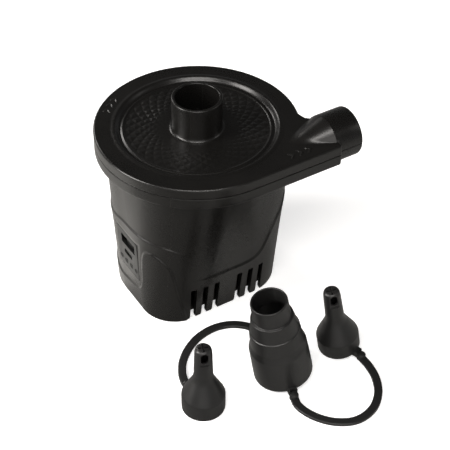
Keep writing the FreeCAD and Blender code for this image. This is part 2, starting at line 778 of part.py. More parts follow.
@piece
def armature_coils():
    """Coil sides in the core's slots, joined by ends and a hub at each level."""
    pitch, end_high = 72, 1.6
    ends = [radial_box("coil_end_%d_%d" % (i, j), 4.6, 5.4, end_high, 3.9,
                       pitch / 2 + pitch * i, z)
            for i in range(5) for j, z in enumerate(COIL_LEVELS)]
    hubs = [cut("coil_hub_%d" % j, cyl("coil_hub_out_%d" % j, 4.6, end_high, (0, 0, z)),
                cyl("coil_hub_in_%d" % j, Dim.shaft_rad, 3, (0, 0, z - 0.7)))
            for j, z in enumerate(COIL_LEVELS)]
    sides = [radial_box("coil_side_%d" % i, 3.8, 3.4, 22.0, 4.5, pitch * i, 44.2)
             for i in range(5)]
    wound = fuse("coil_all", ends + hubs + sides)
    return cut("armature_coils", wound, cyl("coil_clear", Dim.shaft_rad, 40, (0, 0, 40)))


@piece
def commutator():
    low, tall = 38.6, 5.4
    body = new_body("commutator_body")
    sketch = new_sketch(body, "commutator_outline", z=low)
    circle(sketch, 0, 0, 3.2)
    circle(sketch, 0, 0, Dim.shaft_rad)
    pad(body, "commutator_pad", sketch, tall)
    doc.recompute()
    sketch = new_sketch(body, "commutator_gap_shape", z=low + tall)
    rectangle(sketch, 2.3, 4.0, -0.15, 0.15)
    gap = pocket(body, "commutator_gap", sketch, 8.0)
    polar_pattern(body, "commutator_gaps", gap, 5)
    return body


@piece
def motor_brushes():
    near, far, half_wide = 3.26, 9.6, 1.4
    low, high = 39.6, 42.2
    return group("brush_pair", [
        box("brush_0", (near, -half_wide, low), (far, half_wide, high)),
        box("brush_1", (-far, -half_wide, low), (-near, half_wide, high))])


@piece
def motor_terminals():
    near, far = TERMINAL_X
    half_wide, low, high = 1.6, 28.6, Dim.motor_low + 3.6
    return group("terminal_pair", [
        box("terminal_0", (near, -half_wide, low), (far, half_wide, high)),
        box("terminal_1", (-far, -half_wide, low), (-near, half_wide, high))])


@piece
def motor_shaft():
    low, radius, top = 31.8, Dim.shaft_rad, Dim.shaft_top
    return turned("motor_shaft", [
        (0, low), (radius - 0.25, low), (radius, low + 0.25), (radius, top - 0.3),
        (radius - 0.3, top), (0, top)])


# =========================================================================
# Impeller: closed disc, hub and backward curved blades
# =========================================================================
BLADE_ROOT = 11.0           # radius where the blades start
BLADE_SWEEP = 50.0          # degrees a blade sweeps back, root to rim
BLADE_HALF = 0.6            # half thickness
HUB_TOP = Dim.fan_top - 1.6


def blade_point(radius, offset):
    """Point at a radius on a blade's centre line, moved sideways by offset."""
    share = (radius - BLADE_ROOT) / (Dim.fan_rad.value - BLADE_ROOT)
    angle = -math.radians(BLADE_SWEEP) * share
    return Vector(radius * math.cos(angle) - offset * math.sin(angle),
                  radius * math.sin(angle) + offset * math.cos(angle), 0)


def blade_outline(sketch):
    """Two splines along the blade's faces, closed by a line at each end."""
    reach = Dim.fan_rad.value - 0.4 - BLADE_ROOT
    radii = [BLADE_ROOT + reach * i / 6.0 for i in range(7)]
    faces, splines = [], []
    for offset in (BLADE_HALF, -BLADE_HALF):
        points = [blade_point(radius, offset) for radius in radii]
        curve = Part.BSplineCurve()
        curve.interpolate(points)
        faces.append(points)
        splines.append(sketch.addGeometry(curve))
    outer, inner = faces
    rim = sketch.addGeometry(Part.LineSegment(outer[-1], inner[-1]))
    root = sketch.addGeometry(Part.LineSegment(inner[0], outer[0]))
    for spline in splines:
        sketch.addConstraint(Sketcher.Constraint("Block", spline))
    for line, line_end, spline, spline_end in (
            (rim, 1, splines[0], 2), (rim, 2, splines[1], 2),
            (root, 1, splines[1], 1), (root, 2, splines[0], 1)):
        sketch.addConstraint(
            Sketcher.Constraint("Coincident", line, line_end, spline, spline_end))


@piece
def impeller():
    body = new_body("impeller_body")
    low = Dim.fan_low
    revolve(body, "impeller_disc", [
        (Dim.shaft_rad, low - 1.5), (5.0, low - 1.5), (5.0, low), (Dim.fan_rad, low),
        (Dim.fan_rad, low + 1.4), (16.0, low + 1.6), (9.0, low + 3.6), (6.4, low + 7.5),
        (5.2, Dim.fan_top - 2.4), (4.4, HUB_TOP), (Dim.shaft_rad, HUB_TOP)])
    doc.recompute()
    root = 0.8              # blades start inside the disc
    sketch = new_sketch(body, "impeller_blade_shape", z=low + root)
    blade_outline(sketch)
    blade = pad(body, "impeller_blade", sketch, Dim.fan_top - low - root)
    polar_pattern(body, "impeller_blades", blade, 11)
    return body


@piece
def impeller_nut():
    body = new_body("impeller_nut_body")
    sketch = new_sketch(body, "impeller_nut_hex", z=HUB_TOP)
    polygon(sketch, [polar_point(2.9, 60 * k) for k in range(6)])
    circle(sketch, 0, 0, Dim.shaft_rad)
    pad(body, "impeller_nut_pad", sketch, 1.8)
    return body


# =========================================================================
# Switch panel on the -X face, and the control board behind it
# =========================================================================
SWITCH_Y = -4.6             # middle of the switch
ROCKER_X = -42.4            # rocker pin axis
SWITCH_TERMINAL_Y = [SWITCH_Y + offset for offset in (-5.0, 0.0)]
LAMP_Y = [Dim.panel_y + Dim.lamp_pitch * k for k in (-1.5, -0.5, 0.5, 1.5)]
SOCKET_BACK = -Dim.board_front
BOARD_BACK = -Dim.board_front + Dim.board_thick


@piece
def switch_panel():
    body = new_body("switch_panel_body")
    sketch = new_sketch(body, "switch_panel_outline", "YZ_Plane", z=-Dim.panel_face)
    round_rect(sketch, panel_y_low, panel_y_high, Dim.panel_low, panel_top, [1.0] * 4)
    pad(body, "switch_panel_pad", sketch, Dim.panel_thick)
    doc.recompute()
    # openings for the rocker, the charging socket and the lamps
    sketch = new_sketch(body, "switch_panel_openings", "YZ_Plane", z=-panel_back)
    rectangle(sketch, -11.9, 2.7, Dim.switch_z - 3.1, Dim.switch_z + 3.1)
    rectangle(sketch, -8.0, 0.05, Dim.port_z - 1.6, Dim.port_z + 1.6)
    for y in LAMP_Y:
        circle(sketch, y, Dim.lamp_z, Dim.lamp_rad + 0.05)
    pocket(body, "switch_panel_cut", sketch, 4.0)
    return body


def switch_box(name, x_low, x_high, y, half_wide, half_high):
    """Box centred on a y and on the rocker's height."""
    return box(name, (x_low, y - half_wide, Dim.switch_z - half_high),
               (x_high, y + half_wide, Dim.switch_z + half_high))


@piece
def switch_case():
    outside = switch_box("switch_case_out", -panel_back, -34.0, SWITCH_Y, 7.7, 3.8)
    inside = switch_box("switch_case_in", -60, -37.4, SWITCH_Y, 7.0, 2.8)
    pin_hole = cyl("switch_pin_hole", 0.82, 6.4, (ROCKER_X, SWITCH_Y, Dim.switch_z - 3.2))
    slots = [switch_box("switch_terminal_slot_%d" % i, -38.5, -33, y, 0.42, 1.6)
             for i, y in enumerate(SWITCH_TERMINAL_Y)]
    hollow = fuse("switch_case_hollow", [inside, pin_hole] + slots)
    return cut("switch_case", outside, hollow)


# Rocker outline seen from above: x, y from the pin axis.
ROCKER_OUTLINE = [
    (-2.9, -6.4), (-4.1, -3.0), (-4.35, 0), (-4.1, 3.0), (-2.9, 6.4),
    (-0.9, 6.4), (1.5, 1.6), (1.5, -1.6), (-0.9, -6.4)]


@piece
def rocker_button():
    half_high = 2.6
    body = new_body("rocker_button_body")
    sketch = new_sketch(body, "rocker_outline", z=Dim.switch_z - half_high)
    polygon(sketch, [(ROCKER_X + x, SWITCH_Y + y) for x, y in ROCKER_OUTLINE])
    circle(sketch, ROCKER_X, SWITCH_Y, 0.86)
    pad(body, "rocker_pad", sketch, 2 * half_high)
    return body


@piece
def rocker_pin():
    long = 6.3
    return cyl("rocker_pin_rod", 0.8, long, (ROCKER_X, SWITCH_Y, Dim.switch_z - long / 2))


@piece
def switch_terminals():
    return group("switch_terminal_pair", [
        switch_box("switch_blade_%d" % i, -37.4, -29.5, y, 0.4, 1.5)
        for i, y in enumerate(SWITCH_TERMINAL_Y)])


@piece
def charge_socket_shell():
    return cut(
        "charge_shell",
        box("charge_shell_out", (-45.7, -7.8, Dim.port_z - 1.4),
            (SOCKET_BACK, -0.15, Dim.port_z + 1.4)),
        box("charge_shell_in", (-50, -7.45, Dim.port_z - 1.05),
            (SOCKET_BACK - 0.4, -0.5, Dim.port_z + 1.05)))


@piece
def charge_socket_tongue():
    return box("charge_tongue", (-44.8, -6.6, Dim.port_z - 0.3),
               (SOCKET_BACK - 0.4, -1.4, Dim.port_z + 0.3))


@piece
def charge_lamps():
    """Light rods from the board to just proud of the panel."""
    proud = 0.15
    return group("lamp_row", [
        cyl("lamp_%d" % i, Dim.lamp_rad, Dim.panel_face + proud - Dim.board_front,
            (-Dim.panel_face - proud, y, Dim.lamp_z), ALONG_X)
        for i, y in enumerate(LAMP_Y)])


@piece
def control_board():
    body = new_body("control_board_body")
    sketch = new_sketch(body, "control_board_outline", "YZ_Plane", z=-Dim.board_front)
    rectangle(sketch, -17.8, 9.9, 20.4, 34.6)
    for y in BOARD_POST_Y:
        circle(sketch, y, Dim.port_z, 1.0)
    pad(body, "control_board_pad", sketch, Dim.board_thick)
    return body


# Boxes on the board's inner face: name, height off the board, y range, z range.
BOARD_BOXES = [
    ("board_chip", 1.2, (-8.2, -3.2), (23.4, 28.4)),
    ("board_coil", 3.2, (0.2, 5.4), (23.0, 28.2)),
    ("board_plug_a", 4.4, (-14.6, -10.4), (21.6, 27.8)),
    ("board_plug_b", 3.0, (-9.6, -2.4), (30.2, 33.8))]


@piece
def board_components():
    boxes = [box(name, (BOARD_BACK, y[0], z[0]), (BOARD_BACK + high, y[1], z[1]))
             for name, high, y, z in BOARD_BOXES]
    round_part = cyl("board_cap", 1.9, 3.4, (BOARD_BACK, 2.8, 31.4), ALONG_X)
    return group("board_part_set", boxes + [round_part])


@piece
def board_screws():
    return screw_set("board_screw", [(BOARD_BACK, y, Dim.port_z) for y in BOARD_POST_Y],
                     facing(-1, 0, 0), head_rad=1.6, head_high=1.1, shank_rad=0.8, length=4.2)


# =========================================================================
# Battery pack: two upright cells on the +X side
# =========================================================================
SIDES = (-1, 1)             # -Y cell, +Y cell
cell_top = Dim.cell_low + Dim.cell_long


def cell_bores(name, bore_name, high, z):
    """Clearance bores round both cells."""
    return fuse(name, [
        cyl("%s_%d" % (bore_name, i), Dim.cell_rad + 0.12, high,
            (Dim.cell_x, Dim.cell_y * side, z)) for i, side in enumerate(SIDES)])


@piece
def battery_cells():
    shoulder, button_rad = cell_top - 1.4, 3.2
    radius, low = Dim.cell_rad, Dim.cell_low
    cells = []
    for i, side in enumerate(SIDES):
        cell = turned("cell_%d" % i, [
            (0, low), (radius - 0.5, low), (radius, low + 0.5), (radius, cell_top - 2.2),
            (radius - 0.6, shoulder), (button_rad, shoulder), (button_rad, cell_top),
            (0, cell_top)])
        cells.append(place(cell, (Dim.cell_x, Dim.cell_y * side, 0)))
    return group("cell_pair", cells)


@piece
def battery_cradle():
    block = box("cradle_block", (15.2, -18.4, Dim.base_top), (30.3, 18.4, 24))
    return cut("battery_cradle", block,
               cell_bores("cradle_bores", "cradle_bore", 30, Dim.base_top + 1.8))


@piece
def battery_cap():
    """Flat cap over the cells with a skirt down its +X side."""
    outer_x, half_wide, top = 31.4, 18.6, cell_top + 2.4
    plate = box("battery_cap_block", (14.5, -half_wide, cell_top + 0.4),
                (outer_x, half_wide, top))
    skirt = cut("battery_cap_skirt",
                box("battery_cap_skirt_block", (29.6, -half_wide, 50),
                    (outer_x, half_wide, top)),
                cell_bores("battery_cap_clear", "battery_cap_bore", 60, 2))
    return fuse("battery_cap", [plate, skirt])


@piece
def cell_strips():
    """One strip joins the cell tops, one lies under each cell."""
    thick, half_wide = 0.3, 2.6
    strips = [box("strip_top", (19.5, -13.5, cell_top), (25.5, 13.5, cell_top + thick))]
    for i, side in enumerate(SIDES):
        y = Dim.cell_y * side
        strips.append(box("strip_low_%d" % i, (14.4, y - half_wide, Dim.cell_low - thick),
                          (26.0, y + half_wide, Dim.cell_low)))
    return group("strip_set", strips)


# ---- leads: each is a list of x, y, z points on its centre line ----------
MOTOR_LEADS = [
    [(9.0, 0, 27.6), (8.0, -2, 23.0), (0, -10, 19.0), (-18, -15, 18.0),
     (-29, -14.5, 20.5), (-31.6, -13.5, 25.0)],
    [(-9.0, 0, 27.6), (-10.0, -1.0, 23.0), (-16, -6.5, 20.5), (-26, -11.0, 21.5),
     (-31.6, -11.5, 24.0)]]
BATTERY_LEADS = [
    [(14.9, -9.6, 8.98), (8, -10, 8.6), (-6, -15, 8.4), (-22, -17, 9.5),
     (-31.5, -15, 15), (-34.6, -13.6, 20.4)],
    [(14.9, 9.6, 8.98), (6, 8, 8.6), (-8, -4, 8.4), (-22, -9.5, 9.5),
     (-31, -10.5, 14.5), (-34.6, -11.4, 20.4)]]
SWITCH_LEADS = [
    [(-28.6, SWITCH_Y - 5.0, 39.2), (-26.6, SWITCH_Y - 5.0, 37.0),
     (-28.2, SWITCH_Y - 4.0, 33.6), (-33.4, -7.6, 32.0)],
    [(-28.6, SWITCH_Y, 39.2), (-26.6, SWITCH_Y, 37.0),
     (-28.2, SWITCH_Y, 33.6), (-33.4, -4.4, 32.0)]]


def lead(name, points, radius):
    """Insulated wire run through the given points."""
    curve = Part.BSplineCurve()
    curve.interpolate([Vector(*point) for point in points])
    tangent = curve.tangent(curve.FirstParameter)[0]
    ring = Part.Wire([Part.makeCircle(radius, Vector(*points[0]), tangent)])
    pipe = Part.Wire([curve.toShape()]).makePipeShell([ring], True, False)
    feature = doc.addObject("Part::Feature", name)
    feature.Shape = pipe if pipe.ShapeType == "Solid" else Part.Solid(pipe)
    return feature


def lead_pair(name, routes, radius):
    return group(name + "_pair", [lead("%s_%d" % (name, i), points, radius)
                                  for i, points in enumerate(routes)])


@piece
def motor_leads():
    return lead_pair("motor_lead", MOTOR_LEADS, 0.75)


@piece
def battery_leads():
    return lead_pair("battery_lead", BATTERY_LEADS, 0.65)


@piece
def switch_leads():
    return lead_pair("switch_lead", SWITCH_LEADS, 0.7)


# =========================================================================
# Nozzle set: stepped adapter and two small nozzles on flat straps
# =========================================================================
# Base centres on the floor, and bearings of the lugs in degrees.
ADAPTER_AT = (-5.8, -97.2)
LEFT_AT = (-53.3, -94.6)
RIGHT_AT = (30.7, -96.7)
ADAPTER_FRONT_DEG, ADAPTER_REAR_DEG = -106, 74
LEFT_DEG, RIGHT_DEG = 94, -71
# Distance from a piece's axis to the strap end held in its lug.
ADAPTER_REACH = 19.0
NOZZLE_REACH = 14.7
LUG_ROOT = 7.0              # a lug starts this far inside the strap end's axis
LUG_LONG = 5.9

adapter_front = polar_point(ADAPTER_REACH, ADAPTER_FRONT_DEG, *ADAPTER_AT)
adapter_rear = polar_point(ADAPTER_REACH, ADAPTER_REAR_DEG, *ADAPTER_AT)
left_pivot = polar_point(NOZZLE_REACH, LEFT_DEG, *LEFT_AT)
right_pivot = polar_point(NOZZLE_REACH, RIGHT_DEG, *RIGHT_AT)


def leaned(spot, lean_deg, axis_deg, radius):
    """Placement that leans a piece about a level axis, its base rim on the floor."""
    axis = Vector(*polar_point(1, axis_deg), 0)
    lift = radius * math.sin(math.radians(lean_deg))
    return Placement(Vector(*spot, lift), Rotation(axis, lean_deg))


def lug(name, spot, deg, reach, low, high, wide):
    """Short block that carries the strap, from the base wall outwards."""
    return radial_box(name, LUG_LONG, wide, high, reach - LUG_ROOT, deg, low, *spot)


def lug_hollow(name, pivot):
    return cyl(name, Dim.lug_gap, 12, (pivot[0], pivot[1], -1))


@piece
def valve_adapter():
    skirt, bore, tall = Dim.adapt_skirt, Dim.adapt_bore, Dim.adapt_tall
    outside = turned("adapter_outside", [
        (0, 0), (skirt, 0), (skirt - 0.5, 21.0), (skirt - 0.9, 22.6), (14.0, 24.6),
        (13.2, tall - 19.8), (12.7, tall - 19.6), (11.1, tall - 10.8), (9.95, tall - 10.6),
        (9.65, tall), (0, tall)])
    inside = turned("adapter_inside", [
        (0, -4), (bore + 0.4, -4), (bore + 0.4, 0), (bore, 0.8), (bore, 19.5),
        (bore - 1.2, 22.0), (11.6, tall - 20.5), (9.6, tall - 12.0), (8.6, tall - 9.5),
        (8.6, tall + 4), (0, tall + 4)])
    where = leaned(ADAPTER_AT, Dim.lean_adapt.value, ADAPTER_FRONT_DEG, skirt.value)
    outside.Placement = where
    inside.Placement = where
    lugs = [lug(name, ADAPTER_AT, deg, ADAPTER_REACH, low=1.4, high=5.0, wide=5.0)
            for name, deg in (("adapter_lug_front", ADAPTER_FRONT_DEG),
                              ("adapter_lug_rear", ADAPTER_REAR_DEG))]
    hollows = [lug_hollow("adapter_lug_hollow_%d" % i, pivot)
               for i, pivot in enumerate((adapter_front, adapter_rear))]
    return cut("valve_adapter", fuse("adapter_solid", [outside] + lugs),
               fuse("adapter_hollow", [inside] + hollows))


def nozzle_window(name, deg):
    """Round-ended window through one side near the tip, and crossed tip slots."""
    half_wide = 1.75
    low, top = Dim.noz_tall - 7.3, Dim.noz_tall - 4.0
    slot_low, slot_long, slot_wide, slot_high = Dim.noz_tall - 3.8, 5.2, 1.0, 6
    outwards = facing(*polar_point(1, deg), 0)
    return fuse(name + "_window", [
        radial_box(name + "_window_box", 8, 2 * half_wide, 3.3, 0, deg, low),
        cyl(name + "_window_low", half_wide, 8, (0, 0, low), outwards),
        cyl(name + "_window_top", half_wide, 8, (0, 0, top), outwards),
        radial_box(name + "_tip_slot_a", slot_long, slot_wide, slot_high,
                   -slot_long / 2, deg, slot_low),
        radial_box(name + "_tip_slot_b", slot_wide, slot_long, slot_high,
                   -slot_wide / 2, deg, slot_low)])


def small_nozzle(name, spot, pivot, lug_deg, lug_low, lean, axis_deg, window_deg):
    base, bore, tall = Dim.noz_rad, Dim.noz_bore, Dim.noz_tall
    outside = turned(name + "_outside", [
        (0, 0), (base, 0), (base, 9.3), (base - 0.45, 10.1), (base - 3.1, 15.4),
        (base - 5.4, 20.2), (5.3, 22.2), (5.0, 24.0), (4.6, tall - 4.6), (4.45, tall - 2.2),
        (4.05, tall - 0.9), (3.1, tall - 0.2), (0, tall)])
    inside = turned(name + "_inside", [
        (0, -4), (bore + 0.3, -4), (bore + 0.3, 0), (bore, 0.6), (bore, 9.0),
        (bore - 1.8, 13.0), (6.0, 17.2), (3.6, 21.6), (3.1, 24.0), (2.9, tall - 3.2),
        (0, tall - 2.6)])
    hollow = fuse(name + "_hollow", [inside, nozzle_window(name, window_deg)])
    shell = cut(name + "_shell", outside, hollow)
    where = leaned(spot, lean, axis_deg, base.value)
    shell.Placement = where
    # the lug stands upright, so it is trimmed by the leaning bore
    block = lug(name + "_lug", spot, lug_deg, NOZZLE_REACH, low=lug_low, high=4.5, wide=4.6)
    lug_bore = cyl(name + "_lug_bore", bore + 0.35, 12, (0, 0, -4))
    lug_bore.Placement = where.multiply(lug_bore.Placement)
    tools = fuse(name + "_lug_tools", [lug_bore, lug_hollow(name + "_lug_hollow", pivot)])
    return fuse(name, [shell, cut(name + "_lug_trim", block, tools)])


@piece
def pinch_nozzle_left():
    return small_nozzle("pinch_nozzle_left", LEFT_AT, left_pivot, LEFT_DEG, lug_low=0.4,
                        lean=0, axis_deg=0, window_deg=-111)


@piece
def pinch_nozzle_right():
    return small_nozzle("pinch_nozzle_right", RIGHT_AT, right_pivot, RIGHT_DEG, lug_low=1.3,
                        lean=Dim.lean_noz.value, axis_deg=-100.7, window_deg=-109)


# Strap centre lines on the floor: x, y from one lug to the other.
LEFT_STRAP = [
    adapter_rear, (0.2, -75.5), (-0.2, -69.0), (-3.4, -60.6), (-10.6, -54.2),
    (-20.0, -51.4), (-30.5, -52.6), (-40.0, -57.2), (-47.4, -63.6), (-52.0, -70.6),
    (-53.9, -76.2), left_pivot]
RIGHT_STRAP = [
    adapter_front, (-12.3, -121.0), (-11.0, -127.5), (-7.6, -134.2), (-2.0, -140.2),
    (5.5, -144.3), (13.4, -144.7), (21.6, -141.7), (28.8, -135.0), (33.4, -126.5),
    (35.3, -118.0), right_pivot]


def spline_through(points):
    curve = Part.BSplineCurve()
    curve.interpolate(points)
    return curve


def strap(name, points):
    """Flat moulded strap lying on the floor with a round end at each lug."""
    half = Dim.strap_wide.value / 2
    middle = spline_through([Vector(x, y, 0) for x, y in points])
    first, last = middle.FirstParameter, middle.LastParameter
    steps = 40
    left, right = [], []
    for i in range(steps + 1):
        along = first + (last - first) * i / steps
        point = middle.value(along)
        tangent = middle.tangent(along)[0]
        sideways = Vector(-tangent.y * half, tangent.x * half, 0)
        left.append(point + sideways)
        right.append(point - sideways)
    outline = Part.Wire([
        spline_through(left).toShape(), Part.makeLine(left[-1], right[-1]),
        spline_through(right).toShape().reversed(), Part.makeLine(right[0], left[0])])
    band = doc.addObject("Part::Feature", name + "_band")
    band.Shape = Part.Face(outline).extrude(Vector(0, 0, Dim.strap_thick.value))
    ends = upright_set(name + "_end", (points[0], points[-1]), Dim.knuckle_rad, 4.6, 0)
    return fuse(name, [band] + ends)


@piece
def tether_strap_left():
    return strap("tether_strap_left", LEFT_STRAP)


@piece
def tether_strap_right():
    return strap("tether_strap_right", RIGHT_STRAP)


# ---- check and export ----------------------------------------------------
doc.recompute()
bad = [(obj.Name, obj.State) for obj in doc.Objects
       if "Invalid" in obj.State or "Error" in obj.State]
bad += [(part.Label, "shape") for part in PARTS
        if part.Shape.isNull() or not part.Shape.isValid() or not part.Shape.Solids]
if bad:
    raise RuntimeError("failed objects: %s" % bad)

os.makedirs("parts", exist_ok=True)
for part in PARTS:
    part.Shape.exportStep(os.path.join("parts", part.Label + ".step"))
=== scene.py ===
"""Small rechargeable air pump with its set of nozzles.

The pump stands on z = 0 with the axis of its round head on Z. The inlet tube rises from the
head, the outlet tube leaves along +X on the head's -Y side, and the switch panel is in the -X
wall. The nozzle set stands on the floor on the -Y side. Sizes are in mm until a mesh is made.
"""
import json
import math

import bmesh
import bpy
import numpy as np
from mathutils import Matrix, Vector


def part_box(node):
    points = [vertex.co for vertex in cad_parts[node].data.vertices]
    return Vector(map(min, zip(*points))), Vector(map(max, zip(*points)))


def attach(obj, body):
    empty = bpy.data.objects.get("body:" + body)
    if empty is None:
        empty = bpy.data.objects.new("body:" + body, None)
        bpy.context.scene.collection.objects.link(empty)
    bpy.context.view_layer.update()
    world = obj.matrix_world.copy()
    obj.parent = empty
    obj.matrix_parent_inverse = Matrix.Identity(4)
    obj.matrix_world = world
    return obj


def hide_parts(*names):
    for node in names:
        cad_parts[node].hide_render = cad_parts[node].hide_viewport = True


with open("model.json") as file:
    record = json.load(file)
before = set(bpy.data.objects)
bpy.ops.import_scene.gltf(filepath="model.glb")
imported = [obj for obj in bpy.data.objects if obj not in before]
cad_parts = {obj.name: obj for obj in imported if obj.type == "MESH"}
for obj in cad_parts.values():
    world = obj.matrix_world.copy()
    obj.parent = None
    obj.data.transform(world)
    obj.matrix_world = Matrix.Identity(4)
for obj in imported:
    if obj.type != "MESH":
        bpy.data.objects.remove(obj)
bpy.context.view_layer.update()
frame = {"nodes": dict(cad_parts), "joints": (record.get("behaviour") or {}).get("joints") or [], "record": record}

MM = 0.001
TURN = 2 * math.pi

# =========================================================================
# Driving sizes (mm)
# =========================================================================


def box_mm(node):
    """Low and high corner of a CAD piece."""
    return [np.array(corner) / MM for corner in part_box(node)]


def mount(name):
    return next(m for m in frame["record"]["mounts"] if m["name"] == name)


cover_low, cover_high = box_mm("top_cover")
RIM_R = -cover_low[0]                 # round head
PART_Z = cover_low[2]                 # parting plane of cover and housing
INLET_TOP = cover_high[2]
OUT_END = cover_high[0]               # mouth of the outlet tube
TUBE_R = mount("inlet_tube")["dims"]["r_mm"]
BORE_R = TUBE_R - 1.7
OUT_Y = mount("outlet_tube")["pos_m"][1] / MM
ARM_END = OUT_END - mount("outlet_tube")["dims"]["length_mm"]
TOP_Z = PART_Z + 6.0                  # flat top of the head
BAND_Z = PART_Z - 6.4                 # underside of the band round the head
RECESS_Z = TOP_Z - 1.8                # sunken field on the head
ROOF_Z = TOP_Z - 3.6                  # inner ceiling
CHAMBER_R = 43.5
MOTOR_PLATE_Z = box_mm("motor_plate")[0][2]

panel_low, panel_high = box_mm("switch_panel")
rocker_low, rocker_high = box_mm("rocker_button")
socket_low, socket_high = box_mm("charge_socket_shell")
lamp_low, lamp_high = box_mm("charge_lamps")
SWITCH_Y = (rocker_low[1] + rocker_high[1]) / 2
SWITCH_Z = (rocker_low[2] + rocker_high[2]) / 2
LAMP_Z = (lamp_low[2] + lamp_high[2]) / 2
LAMP_R = (lamp_high[2] - lamp_low[2]) / 2
LAMP_YS = np.linspace(lamp_low[1] + LAMP_R, lamp_high[1] - LAMP_R, 4)

# Cutting tools for the -X wall run between these, from outside it to inside it
CUT_OUTSIDE, CUT_INSIDE = -60, -30

# =========================================================================
# Curves and easing
# =========================================================================


def smooth(start, end, x):
    t = np.clip((np.asarray(x, float) - start) / (end - start), 0, 1)
    return t * t * (3 - 2 * t)


def soft_max(a, b, blend):
    overlap = np.clip(blend - np.abs(a - b), 0, None) / blend
    return np.maximum(a, b) + overlap * overlap * blend * 0.25


def unit(vectors, spare=0.0):
    """Unit vectors; a small spare length guards against repeated points."""
    return vectors / (np.linalg.norm(vectors, axis=1)[:, None] + spare)


def right_of(vectors):
    return np.stack([vectors[:, 1], -vectors[:, 0]], 1)


def rect(a0, a1, b0, b1):
    return [(a0, b0), (a1, b0), (a1, b1), (a0, b1)]


def rounded(points, radii, steps=4, closed=True):
    """Polyline with every corner replaced by a small curve; radii is one value or one each."""
    points = [np.array(p, float) for p in points]
    count = len(points)
    if not hasattr(radii, "__len__"):
        radii = [radii] * count
    out = []
    for i, corner in enumerate(points):
        if not closed and i in (0, count - 1):
            out.append(corner)
            continue
        before, after = points[i - 1] - corner, points[(i + 1) % count] - corner
        length_before, length_after = np.linalg.norm(before), np.linalg.norm(after)
        radius = min(radii[i], 0.45 * length_before, 0.45 * length_after)
        if radius < 1e-4:
            out.append(corner)
            continue
        start = corner + before / length_before * radius
        end = corner + after / length_after * radius
        for k in range(steps + 1):
            t = k / steps
            out.append((1 - t) ** 2 * start + 2 * t * (1 - t) * corner + t * t * end)
    return np.array(out)


def densify(points, step, closed=True):
    """Polyline with its segments split into equal parts no longer than step."""
    points = np.asarray(points, float)
    out = []
    count = len(points)
    for i in range(count if closed else count - 1):
        start, end = points[i], points[(i + 1) % count]
        parts = max(1, int(math.ceil(np.linalg.norm(end - start) / step)))
        for k in range(parts):
            out.append(start + (end - start) * k / parts)
    if not closed:
        out.append(points[-1])
    return np.array(out)


def chaikin(points):
    """Open line with its corners cut three times over."""
    points = np.asarray(points, float)
    for _ in range(3):
        out = [points[0]]
        for a, b in zip(points[:-1], points[1:]):
            out += [a * 0.75 + b * 0.25, a * 0.25 + b * 0.75]
        out.append(points[-1])
        points = np.array(out)
    return points


def catmull(points, steps):
    """Smooth curve through the points."""
    points = np.array(points, float)
    ends = 2 * points[0] - points[1], 2 * points[-1] - points[-2]
    points = np.vstack([ends[0], points, ends[1]])
    out = []
    for before, start, end, after in zip(points, points[1:], points[2:], points[3:]):
        for k in range(steps):
            t = k / steps
            out.append(0.5 * ((2 * start) + (end - before) * t
                              + (2 * before - 5 * start + 4 * end - after) * t * t
                              + (3 * start - before - 3 * end + after) * t ** 3))
    out.append(points[-2])
    return np.array(out)


# =========================================================================
# Placements: 4x4 matrices in mm
# =========================================================================


def placed(points, place):
    return points if place is None else points @ place[:3, :3].T + place[:3, 3]


def along_x(y, z):
    """Turns local z into world x."""
    return np.array([[0, 0, 1, 0], [1, 0, 0, y], [0, 1, 0, z], [0, 0, 0, 1.0]])


def upright(x, y, degrees=0):
    """Stands at (x, y), turned about z."""
    c, s = math.cos(math.radians(degrees)), math.sin(math.radians(degrees))
    return np.array([[c, -s, 0, x], [s, c, 0, y], [0, 0, 1, 0], [0, 0, 0, 1.0]])


def leaning(mount_name, mount_height):
    """Local z is the piece's own axis; its socket mount sits at mount_height on that axis."""
    axis = np.array(mount(mount_name)["axis"], float)
    z = -axis / np.linalg.norm(axis)
    place = np.eye(4)
    place[:3, 3] = np.array(mount(mount_name)["pos_m"], float) / MM - z * mount_height
    hinge = np.cross(np.array([0, 0, 1.0]), z)
    sine = np.linalg.norm(hinge)
    if sine > 1e-9:
        x, y, _ = hinge = hinge / sine
        angle = math.atan2(sine, z[2])
        K = np.array([[0, -hinge[2], y], [hinge[2], 0, -x], [-y, x, 0]])
        place[:3, :3] = np.eye(3) + math.sin(angle) * K + (1 - math.cos(angle)) * K @ K
    return place


# =========================================================================
# Mesh builders
# =========================================================================


def new_solid(points, faces):
    mesh = bpy.data.meshes.new("part")
    mesh.from_pydata([tuple(v) for v in np.asarray(points) * MM], [], faces)
    mesh.update()
    ob = bpy.data.objects.new("part", mesh)
    bpy.context.scene.collection.objects.link(ob)
    bm = bmesh.new()
    bm.from_mesh(mesh)
    bmesh.ops.remove_doubles(bm, verts=bm.verts, dist=1e-7)
    bmesh.ops.recalc_face_normals(bm, faces=bm.faces)
    if bm.calc_volume(signed=True) < 0:
        bmesh.ops.reverse_faces(bm, faces=bm.faces)
    bm.to_mesh(mesh)
    bm.free()
    return ob


def closed_grid(grid):
    """Solid from grid[u, v, 3], closed both ways."""
    nu, nv = grid.shape[:2]
    index = np.arange(nu * nv).reshape(nu, nv)
    next_u = np.roll(index, -1, 0)
    corners = [index, next_u, np.roll(next_u, -1, 1), np.roll(index, -1, 1)]
    faces = np.stack(corners, -1).reshape(-1, 4).tolist()
    return new_solid(grid.reshape(-1, 3), faces)


